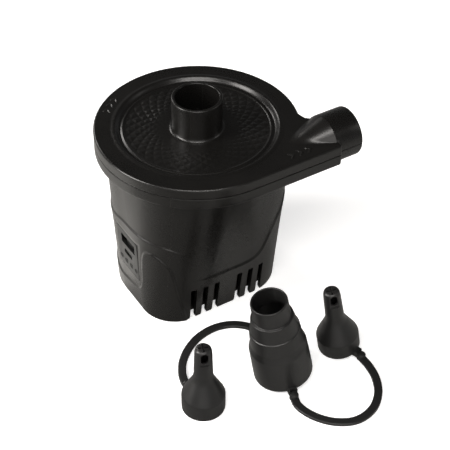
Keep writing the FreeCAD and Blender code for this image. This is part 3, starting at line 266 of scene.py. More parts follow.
def capped_tube(grid):
    """Solid from grid[row, section, 3]: sections are closed loops, the two ends are capped."""
    grid = np.asarray(grid)
    nu, nv = grid.shape[:2]
    index = np.arange(nu * nv).reshape(nu, nv).tolist()
    faces = []
    for a, b in zip(index[:-1], index[1:]):
        for j in range(nv):
            k = (j + 1) % nv
            faces.append((a[j], b[j], b[k], a[k]))
    faces += [index[0], index[-1][::-1]]
    return new_solid(grid.reshape(-1, 3), faces)


def revolve_ring(profile, segments, place):
    """Closed ring profile (r, z) turned about local z."""
    r, z = np.asarray(profile, float).T
    t = np.linspace(0, TURN, segments, endpoint=False)
    grid = np.stack([np.outer(np.cos(t), r), np.outer(np.sin(t), r),
                     np.tile(z, (segments, 1))], -1)
    return closed_grid(placed(grid, place))


def revolve_solid(profile, segments, place):
    """Profile (r, z) turned about local z; its first and last points are on the axis."""
    rows = profile[1:-1]
    turns = np.linspace(0, TURN, segments, endpoint=False)
    points = [(0, 0, profile[0][1])]
    for r, z in rows:
        points += [(r * math.cos(a), r * math.sin(a), z) for a in turns]
    points.append((0, 0, profile[-1][1]))
    pairs = [(j, (j + 1) % segments) for j in range(segments)]
    faces = [(0, 1 + j, 1 + k) for j, k in pairs]
    for i in range(len(rows) - 1):
        a, b = 1 + i * segments, 1 + (i + 1) * segments
        faces += [(a + j, b + j, b + k, a + k) for j, k in pairs]
    a = 1 + (len(rows) - 1) * segments
    faces += [(len(points) - 1, a + k, a + j) for j, k in pairs]
    return new_solid(placed(np.array(points, float), place), faces)


def cylinder(radius, low, high, segments, place):
    return revolve_solid([(0, low), (radius, low), (radius, high), (0, high)], segments, place)


def prism(outline, axis, low, high, bevel=0.0, place=None):
    """Outline pushed along an axis (0, 1, 2) from low to high, with its end edges rounded.
    The outline holds the other two coordinates in their order."""
    outline = np.asarray(outline, float)
    if bevel > 0:
        ahead = np.roll(outline, -1, 0)
        area = 0.5 * np.sum(outline[:, 0] * ahead[:, 1] - ahead[:, 0] * outline[:, 1])
        normals = unit(unit(right_of(outline - np.roll(outline, 1, 0)), 1e-12)
                       + unit(right_of(ahead - outline), 1e-12), 1e-12)
        normals *= 1 if area > 0 else -1
        rows = []
        for k in (3, 2, 1, 0):
            a = math.pi / 2 * k / 3
            rows.append((low + bevel * (1 - math.sin(a)), bevel * (1 - math.cos(a))))
        rows += [(low + high - level, inset) for level, inset in rows][::-1]
    else:
        normals = np.zeros_like(outline)
        rows = [(low, 0.0), (high, 0.0)]
    grid = [np.insert(outline - normals * inset, axis, level, axis=1) for level, inset in rows]
    return capped_tube(placed(np.array(grid), place))


def boolean(body, tool, operation):
    """Replaces the body's mesh with the result and removes the tool."""
    before = len(body.data.polygons)
    # EXACT is the fallback for when MANIFOLD leaves the body empty or unchanged
    for solver in ("MANIFOLD", "EXACT"):
        modifier = body.modifiers.new("cut", "BOOLEAN")
        modifier.operation = operation
        modifier.object = tool
        modifier.solver = solver
        depsgraph = bpy.context.evaluated_depsgraph_get()
        mesh = bpy.data.meshes.new_from_object(
            body.evaluated_get(depsgraph), preserve_all_data_layers=False, depsgraph=depsgraph)
        body.modifiers.remove(modifier)
        if len(mesh.polygons) > 3 and len(mesh.polygons) != before:
            old = body.data
            body.data = mesh
            bpy.data.meshes.remove(old)
            break
        bpy.data.meshes.remove(mesh)
    bpy.data.objects.remove(tool)


def cut(body, tool):
    boolean(body, tool, "DIFFERENCE")


def join(body, tool):
    boolean(body, tool, "UNION")


def finish(ob, name, body, node, slot, sharp_degrees=32):
    """Names and shades a piece and tells the frame what it rides on and replaces."""
    ob.name = name
    mesh = ob.data
    mesh.name = name
    mesh.materials.clear()
    mesh.materials.append(MATERIALS[slot])
    mesh.polygons.foreach_set("use_smooth", [True] * len(mesh.polygons))
    mesh.set_sharp_from_angle(angle=math.radians(sharp_degrees))
    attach(ob, body)
    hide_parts(node)


# =========================================================================
# Materials
# =========================================================================


class Graph:
    """Node tree of a material or world: an output, its shader and helpers that feed it."""

    def __init__(self, owner, output_kind="OutputMaterial", shader_kind="BsdfPrincipled"):
        owner.use_nodes = True
        self.tree = owner.node_tree
        self.tree.nodes.clear()
        output = self.node(output_kind)
        self.shader = self.node(shader_kind)
        self.feed(output.inputs[0], self.shader.outputs[0])
        self.coords = self.node("TexCoord")

    def node(self, kind):
        return self.tree.nodes.new("ShaderNode" + kind)

    def feed(self, socket, value):
        """Links an output, or sets a number or an RGB colour."""
        if isinstance(value, bpy.types.NodeSocket):
            self.tree.links.new(value, socket)
        elif isinstance(value, tuple):
            socket.default_value = (*value, 1)
        else:
            socket.default_value = value

    def set(self, name, value):
        self.feed(self.shader.inputs[name], value)

    def noise(self, scale, detail=4.0, rough=0.55, stretch=None):
        vector = self.coords.outputs["Object"]
        if stretch is not None:
            mapping = self.node("Mapping")
            mapping.inputs["Scale"].default_value = stretch
            self.feed(mapping.inputs["Vector"], vector)
            vector = mapping.outputs[0]
        noise = self.node("TexNoise")
        noise.inputs["Scale"].default_value = scale
        noise.inputs["Detail"].default_value = detail
        noise.inputs["Roughness"].default_value = rough
        self.feed(noise.inputs["Vector"], vector)
        return noise.outputs["Fac"]

    def ramp(self, value, stops):
        """Colour ramp; stops are (position, RGB) in rising order."""
        ramp = self.node("ValToRGB")
        elements = ramp.color_ramp.elements
        while len(elements) < len(stops):
            elements.new(0.5)
        for element, (position, color) in zip(elements, stops):
            element.position = position
            element.color = (*color, 1)
        self.feed(ramp.inputs[0], value)
        return ramp.outputs[0]

    def remap(self, value, to=(0.0, 1.0), span=(0.3, 0.7)):
        """Carries the span of the value to a new range."""
        node = self.node("MapRange")
        limits = zip(("From Min", "From Max", "To Min", "To Max"), (*span, *to))
        for name, limit in limits:
            node.inputs[name].default_value = limit
        self.feed(node.inputs["Value"], value)
        return node.outputs[0]

    def math(self, operation, a, b, clamp=False):
        node = self.node("Math")
        node.operation = operation
        node.use_clamp = clamp
        self.feed(node.inputs[0], a)
        self.feed(node.inputs[1], b)
        return node.outputs[0]

    def mix(self, factor, a, b):
        node = self.node("Mix")
        node.data_type = "RGBA"
        for i, value in ((0, factor), (6, a), (7, b)):
            self.feed(node.inputs[i], value)
        return node.outputs[2]

    def bump(self, height, strength, distance, below=None):
        node = self.node("Bump")
        node.inputs["Strength"].default_value = strength
        node.inputs["Distance"].default_value = distance
        self.feed(node.inputs["Height"], height)
        if below is not None:
            self.feed(node.inputs["Normal"], below)
        self.set("Normal", node.outputs[0])
        return node.outputs[0]


MATERIALS = {}


def new_material(name):
    MATERIALS[name] = bpy.data.materials.new(name)
    return Graph(MATERIALS[name])


def plastic(name, dark, light, rough, spread, grain=0.00005, grain_scale=2600.0, edge=0.5,
            specular=0.5, scuffs=0.25):
    """Moulded plastic: fine grain (depth in m), slow flow marks, rubbed edges, faint scuffs."""
    g = new_material(name)
    flow = g.noise(scale=22.0, detail=5.0, rough=0.6)
    fine = g.noise(scale=grain_scale, detail=2.0, rough=0.6)
    medium = g.noise(scale=320.0, detail=3.0, rough=0.5)
    pointiness = g.node("NewGeometry").outputs["Pointiness"]
    rubbed = g.math("MULTIPLY", g.remap(pointiness, span=(0.54, 0.64)),
                    g.remap(medium, to=(0.3, 1.0)), clamp=True)
    worn = tuple(min(1.0, c * 1.9 + 0.006) for c in light)
    color = g.mix(g.math("MULTIPLY", rubbed, edge), g.mix(g.remap(flow), dark, light), worn)
    # Long scuffs in two directions
    scuff_a = g.noise(scale=60.0, detail=6.0, rough=0.75, stretch=(1.0, 9.0, 3.0))
    scuff_b = g.noise(scale=55.0, detail=6.0, rough=0.75, stretch=(8.0, 1.0, 5.0))
    scuff = g.math("MAXIMUM", g.remap(scuff_a, span=(0.62, 0.72)),
                   g.remap(scuff_b, span=(0.63, 0.73)))
    scuff = g.math("MULTIPLY", scuff, scuffs, clamp=True)
    g.set("Base Color", g.mix(g.math("MULTIPLY", scuff, 0.25), color, worn))
    roughness = g.math("ADD", g.remap(flow, to=(rough - spread, rough + spread)),
                       g.remap(fine, to=(-0.02, 0.02)))
    roughness = g.math("ADD", roughness, g.math("MULTIPLY", scuff, 0.12))
    roughness = g.math("ADD", roughness, g.math("MULTIPLY", rubbed, -0.06), clamp=True)
    g.set("Roughness", roughness)
    g.set("Specular IOR Level", specular)
    fine_bump = g.bump(fine, strength=0.35, distance=grain)
    g.bump(medium, strength=0.10, distance=grain * 2.0, below=fine_bump)


def metal(name, color, rough, stretch=(1, 1, 12)):
    """Brushed metal; the stretch sets which way the fine lines run."""
    g = new_material(name)
    lines = g.noise(scale=420.0, detail=3.0, rough=0.6, stretch=stretch)
    cloud = g.noise(scale=60.0, detail=4.0, rough=0.6)
    dark = tuple(c * 0.76 for c in color)
    g.set("Base Color", g.mix(g.remap(cloud), dark, color))
    g.set("Roughness", g.math("ADD", g.remap(lines, to=(rough - 0.08, rough + 0.10)),
                              g.remap(cloud, to=(-0.04, 0.06))))
    g.set("Metallic", 1.0)
    g.bump(lines, strength=0.25, distance=0.00004)


def speckled(name, color, other, rough, scale=900.0, metallic=0.0):
    g = new_material(name)
    specks = g.noise(scale=scale, detail=3.0, rough=0.7)
    slow = g.noise(scale=70.0, detail=3.0, rough=0.5)
    factor = g.math("ADD", g.remap(specks, to=(0, 0.7)), g.remap(slow, to=(0, 0.3)), clamp=True)
    g.set("Base Color", g.mix(factor, color, other))
    g.set("Roughness", g.remap(specks, to=(rough - 0.06, rough + 0.1)))
    g.set("Metallic", metallic)
    g.bump(specks, strength=0.3, distance=0.00008)


def wound(name, color):
    """Enamelled wire laid side by side."""
    g = new_material(name)
    wave = g.node("TexWave")
    wave.bands_direction = "X"
    wave.inputs["Scale"].default_value = 700.0
    wave.inputs["Distortion"].default_value = 0.6
    wave.inputs["Detail"].default_value = 1.0
    g.feed(wave.inputs["Vector"], g.coords.outputs["Object"])
    strands = wave.outputs["Fac"]
    g.set("Base Color", g.mix(strands, tuple(c * 0.35 for c in color), color))
    g.set("Roughness", g.remap(g.noise(scale=90.0), to=(0.25, 0.4)))
    g.set("Metallic", 0.6)
    g.bump(strands, strength=0.6, distance=0.00015)


plastic("satin_black", (0.0050, 0.0048, 0.0044), (0.0074, 0.0070, 0.0064), rough=0.285,
        spread=0.03, grain=0.00002, edge=0.35, scuffs=0.06)
plastic("fan_black", (0.006, 0.006, 0.006), (0.010, 0.010, 0.010), rough=0.42, spread=0.05)
plastic("panel_black", (0.0040, 0.0042, 0.0040), (0.0060, 0.0063, 0.0060), rough=0.44,
        spread=0.05, grain=0.00009, grain_scale=1900.0, edge=0.3)
plastic("switch_black", (0.0012, 0.0012, 0.0013), (0.0022, 0.0022, 0.0023), rough=0.42,
        spread=0.04, grain=0.00002, edge=0.2, specular=0.08)
plastic("soft_black", (0.0110, 0.0110, 0.0109), (0.0160, 0.0160, 0.0158), rough=0.36,
        spread=0.04, edge=0.4)
plastic("natural_nylon", (0.62, 0.60, 0.53), (0.74, 0.72, 0.65), rough=0.45, spread=0.05,
        edge=0.1)
metal("zinc_steel", (0.55, 0.56, 0.57), rough=0.34)
metal("plated_steel", (0.36, 0.36, 0.34), rough=0.32)
metal("ground_steel", (0.60, 0.60, 0.60), rough=0.22, stretch=(12, 12, 1))
metal("lamination_steel", (0.25, 0.25, 0.26), rough=0.42, stretch=(1, 1, 40))
speckled("bronze", (0.42, 0.28, 0.13), (0.56, 0.39, 0.20), rough=0.42, metallic=1.0)
metal("copper", (0.72, 0.42, 0.25), rough=0.28)
wound("enamelled_copper", (0.55, 0.22, 0.10))
speckled("ferrite", (0.035, 0.035, 0.038), (0.06, 0.06, 0.065), rough=0.62)
speckled("carbon", (0.025, 0.025, 0.025), (0.05, 0.05, 0.05), rough=0.5)
plastic("lamp_smoke", (0.0015, 0.0015, 0.0016), (0.0026, 0.0026, 0.0028), rough=0.30,
        spread=0.03, grain=0.00001, edge=0.1, specular=0.12)
speckled("board_green", (0.012, 0.11, 0.045), (0.02, 0.17, 0.07), rough=0.3, scale=500.0)
speckled("component_black", (0.018, 0.018, 0.018), (0.03, 0.03, 0.03), rough=0.5)
speckled("cell_wrap", (0.03, 0.10, 0.27), (0.05, 0.15, 0.35), rough=0.3, scale=300.0)
speckled("wire_red", (0.34, 0.02, 0.012), (0.45, 0.03, 0.02), rough=0.42)
speckled("wire_black", (0.018, 0.018, 0.018), (0.03, 0.03, 0.03), rough=0.45)

# CAD pieces that stay as they are
for subpart in frame["record"]["subparts"]:
    ob = frame["nodes"][subpart["node"]]
    ob.data.materials.clear()
    ob.data.materials.append(MATERIALS[subpart["material_slot"]])

# =========================================================================
# The head's outline and skins sampled round the axis
# =========================================================================


def head_outline():
    """Dense anticlockwise outline: disc with the arm on its -Y tangent."""
    start = math.radians(-20.5)
    count = 5200
    disc = []
    for k in range(count + 1):
        a = start + (TURN - math.pi / 2 - start) * k / count
        disc.append((RIM_R * math.cos(a), RIM_R * math.sin(a)))
    arm = [disc[-1], (ARM_END, -RIM_R), (ARM_END, OUT_Y + 11.8), (ARM_END - 1.6, OUT_Y + 13.6),
           (ARM_END - 3.0, OUT_Y + 14.6), disc[0]]
    arm = rounded(arm, [0, 1.6, 0.6, 1.2, 2.6, 0], 14, closed=False)
    return np.vstack([disc[:-1], densify(arm, 0.12, closed=False)[:-1]])


def angle_grid(count, spots):
    """Angles round the axis, closer together at the spots (degrees, width, gain)."""
    t = np.linspace(-math.pi, math.pi, 20001)
    density = np.ones_like(t)
    for degrees, width, gain in spots:
        away = np.degrees(np.angle(np.exp(1j * (t - math.radians(degrees)))))
        density += gain * np.exp(-0.5 * (away / width) ** 2)
    total = np.concatenate([[0], np.cumsum(0.5 * (density[1:] + density[:-1]))])
    total /= total[-1]
    return np.interp(np.linspace(0, 1, count, endpoint=False), total, t)


def sample(outline, angles, soften=0):
    """Points and outward normals of an outline at the angles."""
    normals = unit(right_of(np.roll(outline, -1, 0) - np.roll(outline, 1, 0)))
    for _ in range(soften):
        normals = unit(normals + np.roll(normals, 1, 0) + np.roll(normals, -1, 0))
    around = np.unwrap(np.arctan2(outline[:, 1], outline[:, 0]))
    t = np.mod(angles - around[0], TURN) + around[0]
    around = np.append(around, around[0] + TURN)

    def at_angles(values):
        values = np.vstack([values, values[:1]])
        return np.stack([np.interp(t, around, values[:, k]) for k in (0, 1)], 1)

    return at_angles(outline), unit(at_angles(normals))


class Skin:
    """Rows of points at fixed angles round the axis, closed into one solid at the end."""

    def __init__(self, count, spots):
        self.angles = angle_grid(count, spots)
        self.cos, self.sin = np.cos(self.angles), np.sin(self.angles)
        # Softened normals keep insets evenly spaced round the corners
        self.edge, self.normals = sample(head_outline(), self.angles, soften=3)
        self.rows = []

    def circle(self, r):
        return np.stack([r * self.cos, r * self.sin], 1)

    def inset(self, depth):
        """The head's outline moved inward."""
        return self.edge - self.normals * depth

    def add(self, flat, z):
        self.rows.append(np.column_stack([flat, np.broadcast_to(z, len(flat))]))

    def ring(self, r, z):
        self.add(self.circle(r), z)

    def solid(self):
        return closed_grid(np.stack(self.rows, 1))


# Relieved parting edge: (inset from the outline, gap to the parting plane)
PART_EDGE = [(0.0, 0.42), (0.12, 0.22), (0.42, 0.12), (0.95, 0.06)]
EDGE_INSET, PART_GAP = PART_EDGE[-1]

# =========================================================================
# Outlet: cone in the head's arm, half tubes, air way
# =========================================================================
CONE_START = ARM_END - 19.7


def cone_rise(x, y):
    """Height of the outlet cone above the parting plane; below it off the cone."""
    r = np.interp(x, [CONE_START - 12, CONE_START, ARM_END - 1.1, ARM_END + 30],
                  [0.0, 6.0, TUBE_R, TUBE_R])
    square = r * r - (y - OUT_Y) ** 2
    return np.where(square > 0, np.sqrt(np.clip(square, 0, None)), -5.0)


def half_tube(side):
    """Half of the outlet tube, above (1) or below (-1) the parting plane."""
    gap, relief = 0.05, 0.34

    def arc(r, relieved):
        start = math.asin(gap / r)
        a = np.linspace(start, math.pi - start, 88)
        rr = np.full(88, r)
        if relieved:
            rr[[0, -1]] -= relief
            a[1] = start + relief / r
            a[-2] = math.pi - start - relief / r
        return np.stack([OUT_Y + rr * np.cos(a), PART_Z + side * rr * np.sin(a)], 1)

    # (x, outer radius, bore radius); the last four round the mouth
    stations = [(ARM_END - 0.9, TUBE_R, BORE_R), (ARM_END + 2, TUBE_R, BORE_R),
                (ARM_END + 7, TUBE_R, BORE_R), (OUT_END - 0.9, TUBE_R, BORE_R),
                (OUT_END - 0.45, TUBE_R - 0.06, BORE_R + 0.04),
                (OUT_END - 0.15, TUBE_R - 0.25, BORE_R + 0.16),
                (OUT_END, TUBE_R - 0.6, BORE_R + 0.40)]
    return capped_tube([np.insert(np.vstack([arc(outer, True), arc(bore, False)[::-1]]),
                                  0, x, axis=1) for x, outer, bore in stations])


def air_way():
    """Cutting tool: the outlet's tapered bore and a square passage into the chamber."""
    start, end = CONE_START - 0.3, OUT_END + 4
    way = revolve_solid([(0, start), (4.3, start), (BORE_R, ARM_END - 0.5), (BORE_R, end),
                         (0, end)], 176, along_x(OUT_Y, PART_Z))
    passage = rounded(rect(OUT_Y - 6, OUT_Y + 7, BAND_Z + 1.6, ROOF_Z), 0.8)
    join(way, prism(passage, 0, 10, ARM_END - 6))
    return way


# =========================================================================
# Top cover
# =========================================================================
FIELD_IN, FIELD_OUT = 18.0, 38.3      # radii of the diamond field
SPIRALS = 34
PLATE_R = RIM_R - 9.0                 # beyond this the rows turn from round to the outline
COVER_EDGE = 1.15                     # rounding of the top edge
MARK_HEIGHT = 0.28
# (radius, height) of the round top plate, joined with level tangents
TOP_STEPS = np.array([
    (0, RECESS_Z), (FIELD_OUT, RECESS_Z), (FIELD_OUT + 1.2, RECESS_Z + 0.45),
    (FIELD_OUT + 2.6, RECESS_Z - 0.10), (RIM_R - 10.9, TOP_Z + 0.34), (RIM_R - 8.6, TOP_Z),
    (200, TOP_Z)])
# (outward, upward) from the inlet tube's wall and the recess
INLET_FILLET = [(0, 2.0), (0.10, 1.25), (0.35, 0.72), (0.78, 0.34), (1.3, 0.12), (1.9, 0.02)]
# (radius, height) down the inside of the cover and up the inlet bore
COVER_INSIDE = [
    (CHAMBER_R, PART_Z + PART_GAP), (CHAMBER_R, PART_Z + 1.2), (CHAMBER_R - 0.4, ROOF_Z - 0.3),
    (CHAMBER_R - 1.0, ROOF_Z), (36, ROOF_Z), (28, ROOF_Z), (20, ROOF_Z), (BORE_R + 1.5, ROOF_Z),
    (BORE_R + 0.4, ROOF_Z + 0.2), (BORE_R, ROOF_Z + 0.8), (BORE_R, 100.5), (BORE_R, 105.5)]


def top_profile(r):
    i = np.clip(np.searchsorted(TOP_STEPS[:, 0], r) - 1, 0, len(TOP_STEPS) - 2)
    start, end = TOP_STEPS[i], TOP_STEPS[i + 1]
    t = smooth(start[..., 0], end[..., 0], r)
    return start[..., 1] + (end[..., 1] - start[..., 1]) * t


def quilt(r, angle):
    """Diamond field: low pyramids between two families of crossing spirals."""
    u = SPIRALS * (angle + np.log(r / 30.0)) / TURN
    v = SPIRALS * (angle - np.log(r / 30.0)) / TURN
    h = np.minimum(1 - np.abs((u % 1.0) - 0.5) * 2, 1 - np.abs((v % 1.0) - 0.5) * 2)
    h = h - 0.10 * smooth(0.72, 1.0, h)
    height = (0.55 * smooth(FIELD_IN + 1.0, FIELD_IN + 8.0, r)
              * (1 - smooth(FIELD_OUT - 1.2, FIELD_OUT, r)))
    # The field is shallower towards 245 degrees, on the -X -Y side
    shallow = smooth(0.25, 0.95, np.cos(angle - math.radians(245)))
    return (h - 0.35) * height * (1 - 0.62 * shallow)


def segment_distance(x, y, a, b):
    (ax, ay), (bx, by) = a, b
    square = (bx - ax) ** 2 + (by - ay) ** 2
    t = np.clip(((x - ax) * (bx - ax) + (y - ay) * (by - ay)) / square, 0, 1)
    return np.hypot(x - ax - t * (bx - ax), y - ay - t * (by - ay))


def rim_marks(x, y):
    """Raised chevrons: three in a row on the arm and three round the rim."""
    def polar(r, a):
        return r * math.cos(a), r * math.sin(a)

    chevrons = [((start, -46.3), (start + 2.1, -48.2), (start, -50.1))
                for start in (27.0, 32.2, 37.4)]
    for k in range(3):
        a = math.radians(136 - 6.0 * k)
        chevrons.append((polar(48.0, a), polar(49.7, a - 0.045), polar(51.4, a)))
    h = np.zeros_like(x)
    for first, tip, last in chevrons:
        distance = np.minimum(segment_distance(x, y, first, tip),
                              segment_distance(x, y, last, tip))
        h = np.maximum(h, 1 - smooth(0.28, 0.62, distance))
    return h * MARK_HEIGHT


def top_height(flat):
    x, y = flat.T
    plate = top_profile(np.hypot(x, y)) + rim_marks(x, y)
    return soft_max(plate, PART_Z + cone_rise(x, y), 1.5)


def build_cover():
    skin = Skin(1120, [(-44.7, 1.3, 7.0), (-26.0, 4.0, 2.2), (-38, 14, 0.7)])
    # Inlet tube: rounded lip, wall, fillet
    lip = rounded([(BORE_R, INLET_TOP - 6), (BORE_R, INLET_TOP), (TUBE_R, INLET_TOP),
                   (TUBE_R, INLET_TOP - 6)], [0, 0.55, 0.75, 0], 5, closed=False)
    wall = [(TUBE_R, z) for z in np.linspace(INLET_TOP - 8, RECESS_Z + 3.0, 6)]
    fillet = [(TUBE_R + outward, RECESS_Z + up) for outward, up in INLET_FILLET]
    for r, z in [*lip, *wall, *fillet]:
        skin.ring(r, z)
    # Diamond field and the steps round it
    for r in np.concatenate([np.linspace(TUBE_R + 2.6, FIELD_IN + 0.6, 6),
                             np.arange(FIELD_IN + 0.9, FIELD_OUT + 0.2, 0.30)]):
        skin.ring(r, top_profile(r) + quilt(r, skin.angles))
    for r in np.arange(FIELD_OUT + 0.35, PLATE_R, 0.28):
        skin.ring(r, top_profile(r))
    inner, outer = skin.circle(PLATE_R), skin.inset(COVER_EDGE)
    for f in np.linspace(0.01, 1.0, 86):
        flat = inner + (outer - inner) * f
        skin.add(flat, top_height(flat))
    # Rounded edge, kept shallow where the outlet tube joins the arm
    edge_z = top_height(outer)
    at_tube = (skin.edge[:, 0] > ARM_END - 1.3) & (np.abs(skin.edge[:, 1] - OUT_Y) < TUBE_R)
    drop = np.where(at_tube & (edge_z > TOP_Z + 0.3), 0.12, 1.0) * COVER_EDGE * 0.85
    for k in range(1, 6):
        a = math.pi / 2 * k / 5
        skin.add(skin.inset(COVER_EDGE * (1 - math.sin(a))), edge_z - drop * (1 - math.cos(a)))
    # Side, parting edge and the flat in to the chamber
    side_z = edge_z - drop
    for f in (0.3, 0.6, 0.9):
        skin.add(skin.edge, side_z + (PART_Z + 0.5 - side_z) * f)
    for depth, gap in PART_EDGE:
        skin.add(skin.inset(depth), PART_Z + gap)
    for f in (0.3, 0.6, 0.9):
        flat = skin.inset(EDGE_INSET) * (1 - f) + skin.circle(CHAMBER_R) * f
        skin.add(flat, PART_Z + PART_GAP)
    for r, z in COVER_INSIDE:
        skin.ring(r, z)
    cover = skin.solid()
    join(cover, half_tube(1.0))
    cut(cover, air_way())
    finish(cover, "cover", "pump", "top_cover", "satin_black")


# =========================================================================
# Main housing: band, tapered body with creases, lower half of the outlet
# =========================================================================
# Half widths of the body at the floor and its four floor corner radii, anticlockwise
# from -X -Y; at the band every half width is BODY_HALF and every radius BODY_CORNER
FOOT_MINUS_X, FOOT_PLUS_X, FOOT_MINUS_Y, FOOT_PLUS_Y = 45.5, 37.3, 37.8, 34.0
FOOT_RADII = (19.5, 23.6, 31.0, 31.0)
BODY_HALF, BODY_CORNER, WALL = 48.6, 46.4, 2.2
BAND_EDGE = 0.8                       # rounding of the band's lower edge
ARC_R = 46                            # radius at which arcs round the body are measured

# Lines on the body as (arc, height); arc is 0 at -Y and grows towards +X.
# Crease that climbs from above the vents to the head on the +X side, and its twin at the back
SWEEP = chaikin([
    (-30.0, 30.4), (-21.6, 29.7), (-12.6, 29.7), (-4.3, 29.8), (3.0, 29.6), (9.6, 30.3),
    (14.2, 32.6), (17.2, 36.4), (19.9, 41.8), (23.4, 47.0), (28.0, 51.2), (33.5, 54.2),
    (39.5, 56.8), (47.0, 59.4), (56.0, 62.0)])
BACK = np.array([(ARC_R * math.pi - arc, z) for arc, z in SWEEP])[::-1]
# Crosses the panel face and dies out round the corners
SHOULDER = chaikin([
    (-132.0, 50.6), (-120.0, 50.2), (-108.0, 49.8), (-98.0, 49.8), (-91.0, 50.2),
    (-84.0, 51.2), (-78.0, 52.8), (-72.5, 54.2), (-66.0, 54.9), (-60.0, 54.9), (-53.0, 54.2),
    (-47.0, 53.7), (-41.5, 53.3), (-36.0, 52.2), (-30.5, 49.8), (-26.0, 46.8)])
# Outline of the raised pad on one corner beside the panel, and its mirror on the other
PAD = chaikin([
    (-91.0, 7.0), (-86.0, 8.2), (-81.4, 9.4), (-75.4, 10.4), (-68.5, 11.2), (-61.4, 12.6),
    (-57.2, 14.7), (-55.2, 18.9), (-54.8, 24.5), (-54.6, 33.6), (-54.2, 39.9), (-53.4, 43.4),
    (-51.9, 45.6), (-49.4, 46.6), (-46.2, 46.1), (-42.8, 44.1), (-39.6, 41.0), (-37.5, 36.4),
    (-36.0, 29.0), (-34.7, 20.0), (-33.4, 13.4), (-31.8, 8.0), (-30.0, -3.0)])
PAD_MIRROR = np.array([(-155.4 - arc, z) for arc, z in PAD])
PAD_HEIGHT = 0.70


def body_outline(z, inset):
    f = z / BAND_Z
    minus_x, plus_x, minus_y, plus_y = [
        foot + (BODY_HALF - foot) * f - inset
        for foot in (FOOT_MINUS_X, FOOT_PLUS_X, FOOT_MINUS_Y, FOOT_PLUS_Y)]
    radii = [r + (BODY_CORNER - r) * f - inset for r in FOOT_RADII]
    corners = [(-minus_x, -minus_y), (plus_x, -minus_y), (plus_x, plus_y), (-minus_x, plus_y)]
    points = []
    for k, ((x, y), r) in enumerate(zip(corners, radii)):
        start = math.pi * (1 + k / 2) if k < 2 else math.pi * (k / 2 - 1)
        x, y = x - math.copysign(r, x), y - math.copysign(r, y)
        for t in np.linspace(start, start + math.pi / 2, 420):
            points.append((x + r * math.cos(t), y + r * math.sin(t)))
    return densify(points, 0.25)


def wall_x(z):
    """Outer face of the -X wall at a height."""
    return -(FOOT_MINUS_X + (BODY_HALF - FOOT_MINUS_X) * z / BAND_Z)


def signed_distance(arc, z, line):
    """Distance to an open line, positive on its right-hand side, the length along it to the
    nearest point, and its whole length."""
    best = np.full(arc.shape, 1e9)
    sign = np.ones(arc.shape)
    along = np.zeros(arc.shape)
    steep = np.zeros(arc.shape)
    total = 0.0
    for a, b in zip(line[:-1], line[1:]):
        d = b - a
        length = np.hypot(*d)
        t = np.clip(((arc - a[0]) * d[0] + (z - a[1]) * d[1]) / (length * length), 0, 1)
        distance = np.hypot(arc - a[0] - t * d[0], z - a[1] - t * d[1])
        cross = (arc - a[0]) * d[1] - (z - a[1]) * d[0]
        nearer = distance < best - 1e-7
        # Where two segments share the nearest point, the one seen more squarely gives the sign
        square = np.abs(cross) / length
        decides = nearer | ((distance < best + 1e-7) & (square > steep))
        best = np.where(nearer, distance, best)
        sign = np.where(decides, np.where(cross > 0, 1.0, -1.0), sign)
        steep = np.where(decides, square, steep)
        along = np.where(nearer, total + t * length, along)
        total += length
    return best * sign, along, total


def relief(skin, x, y, z):
    """How far the skin stands proud at each point of the body."""
    arc = ARC_R * (np.arctan2(skin.cos, -skin.sin)[None, :] * np.ones_like(z))
    # The cut in the arc is moved away from the lines on the -X side and at the back
    limit = ARC_R * math.radians(20)
    arc_left = np.where(arc > limit, arc - ARC_R * 2 * math.pi, arc)
    arc_back = np.where(arc < -limit, arc + ARC_R * 2 * math.pi, arc)
    h = np.zeros_like(z)
    # Creases: proud below the line. Height, decay length, fade at the start and at the end
    for arcs, line, height, decay, fade_in, fade_out in (
            (arc, SWEEP, 0.85, 16.0, 22.0, 14.0),
            (arc_back, BACK, 0.85, 16.0, 14.0, 22.0),
            (arc_left, SHOULDER, 0.72, 9.0, 20.0, 15.0)):
        d, along, total = signed_distance(arcs, z, line)
        fade = smooth(0.0, fade_in, along) * (1 - smooth(total - fade_out, total, along))
        h += height * smooth(-0.75, 0.75, d) * np.exp(-np.clip(d, 0, None) / decay) * fade
    pads = []
    for line, side in ((PAD, 1), (PAD_MIRROR, -1)):
        d, along, _ = signed_distance(arc_left, z, line)
        pads.append(smooth(-0.7, 0.7, side * d) * smooth(0.0, 16.0, along))
    h += PAD_HEIGHT * np.maximum(*pads)
    # Almost level frame round the switch panel
    outside = [np.abs(v - (panel_low[k] + panel_high[k]) / 2) - (panel_high[k] - panel_low[k]) / 2
               for v, k in ((y, 1), (z, 2))]
    near = np.where(x < 0, np.maximum(*outside), 99.0)
    return h * (0.25 + 0.75 * smooth(0.6, 2.6, near))


def band_underside(flat):
    return -soft_max(-BAND_Z, cone_rise(*flat.T) - PART_Z, 1.2)


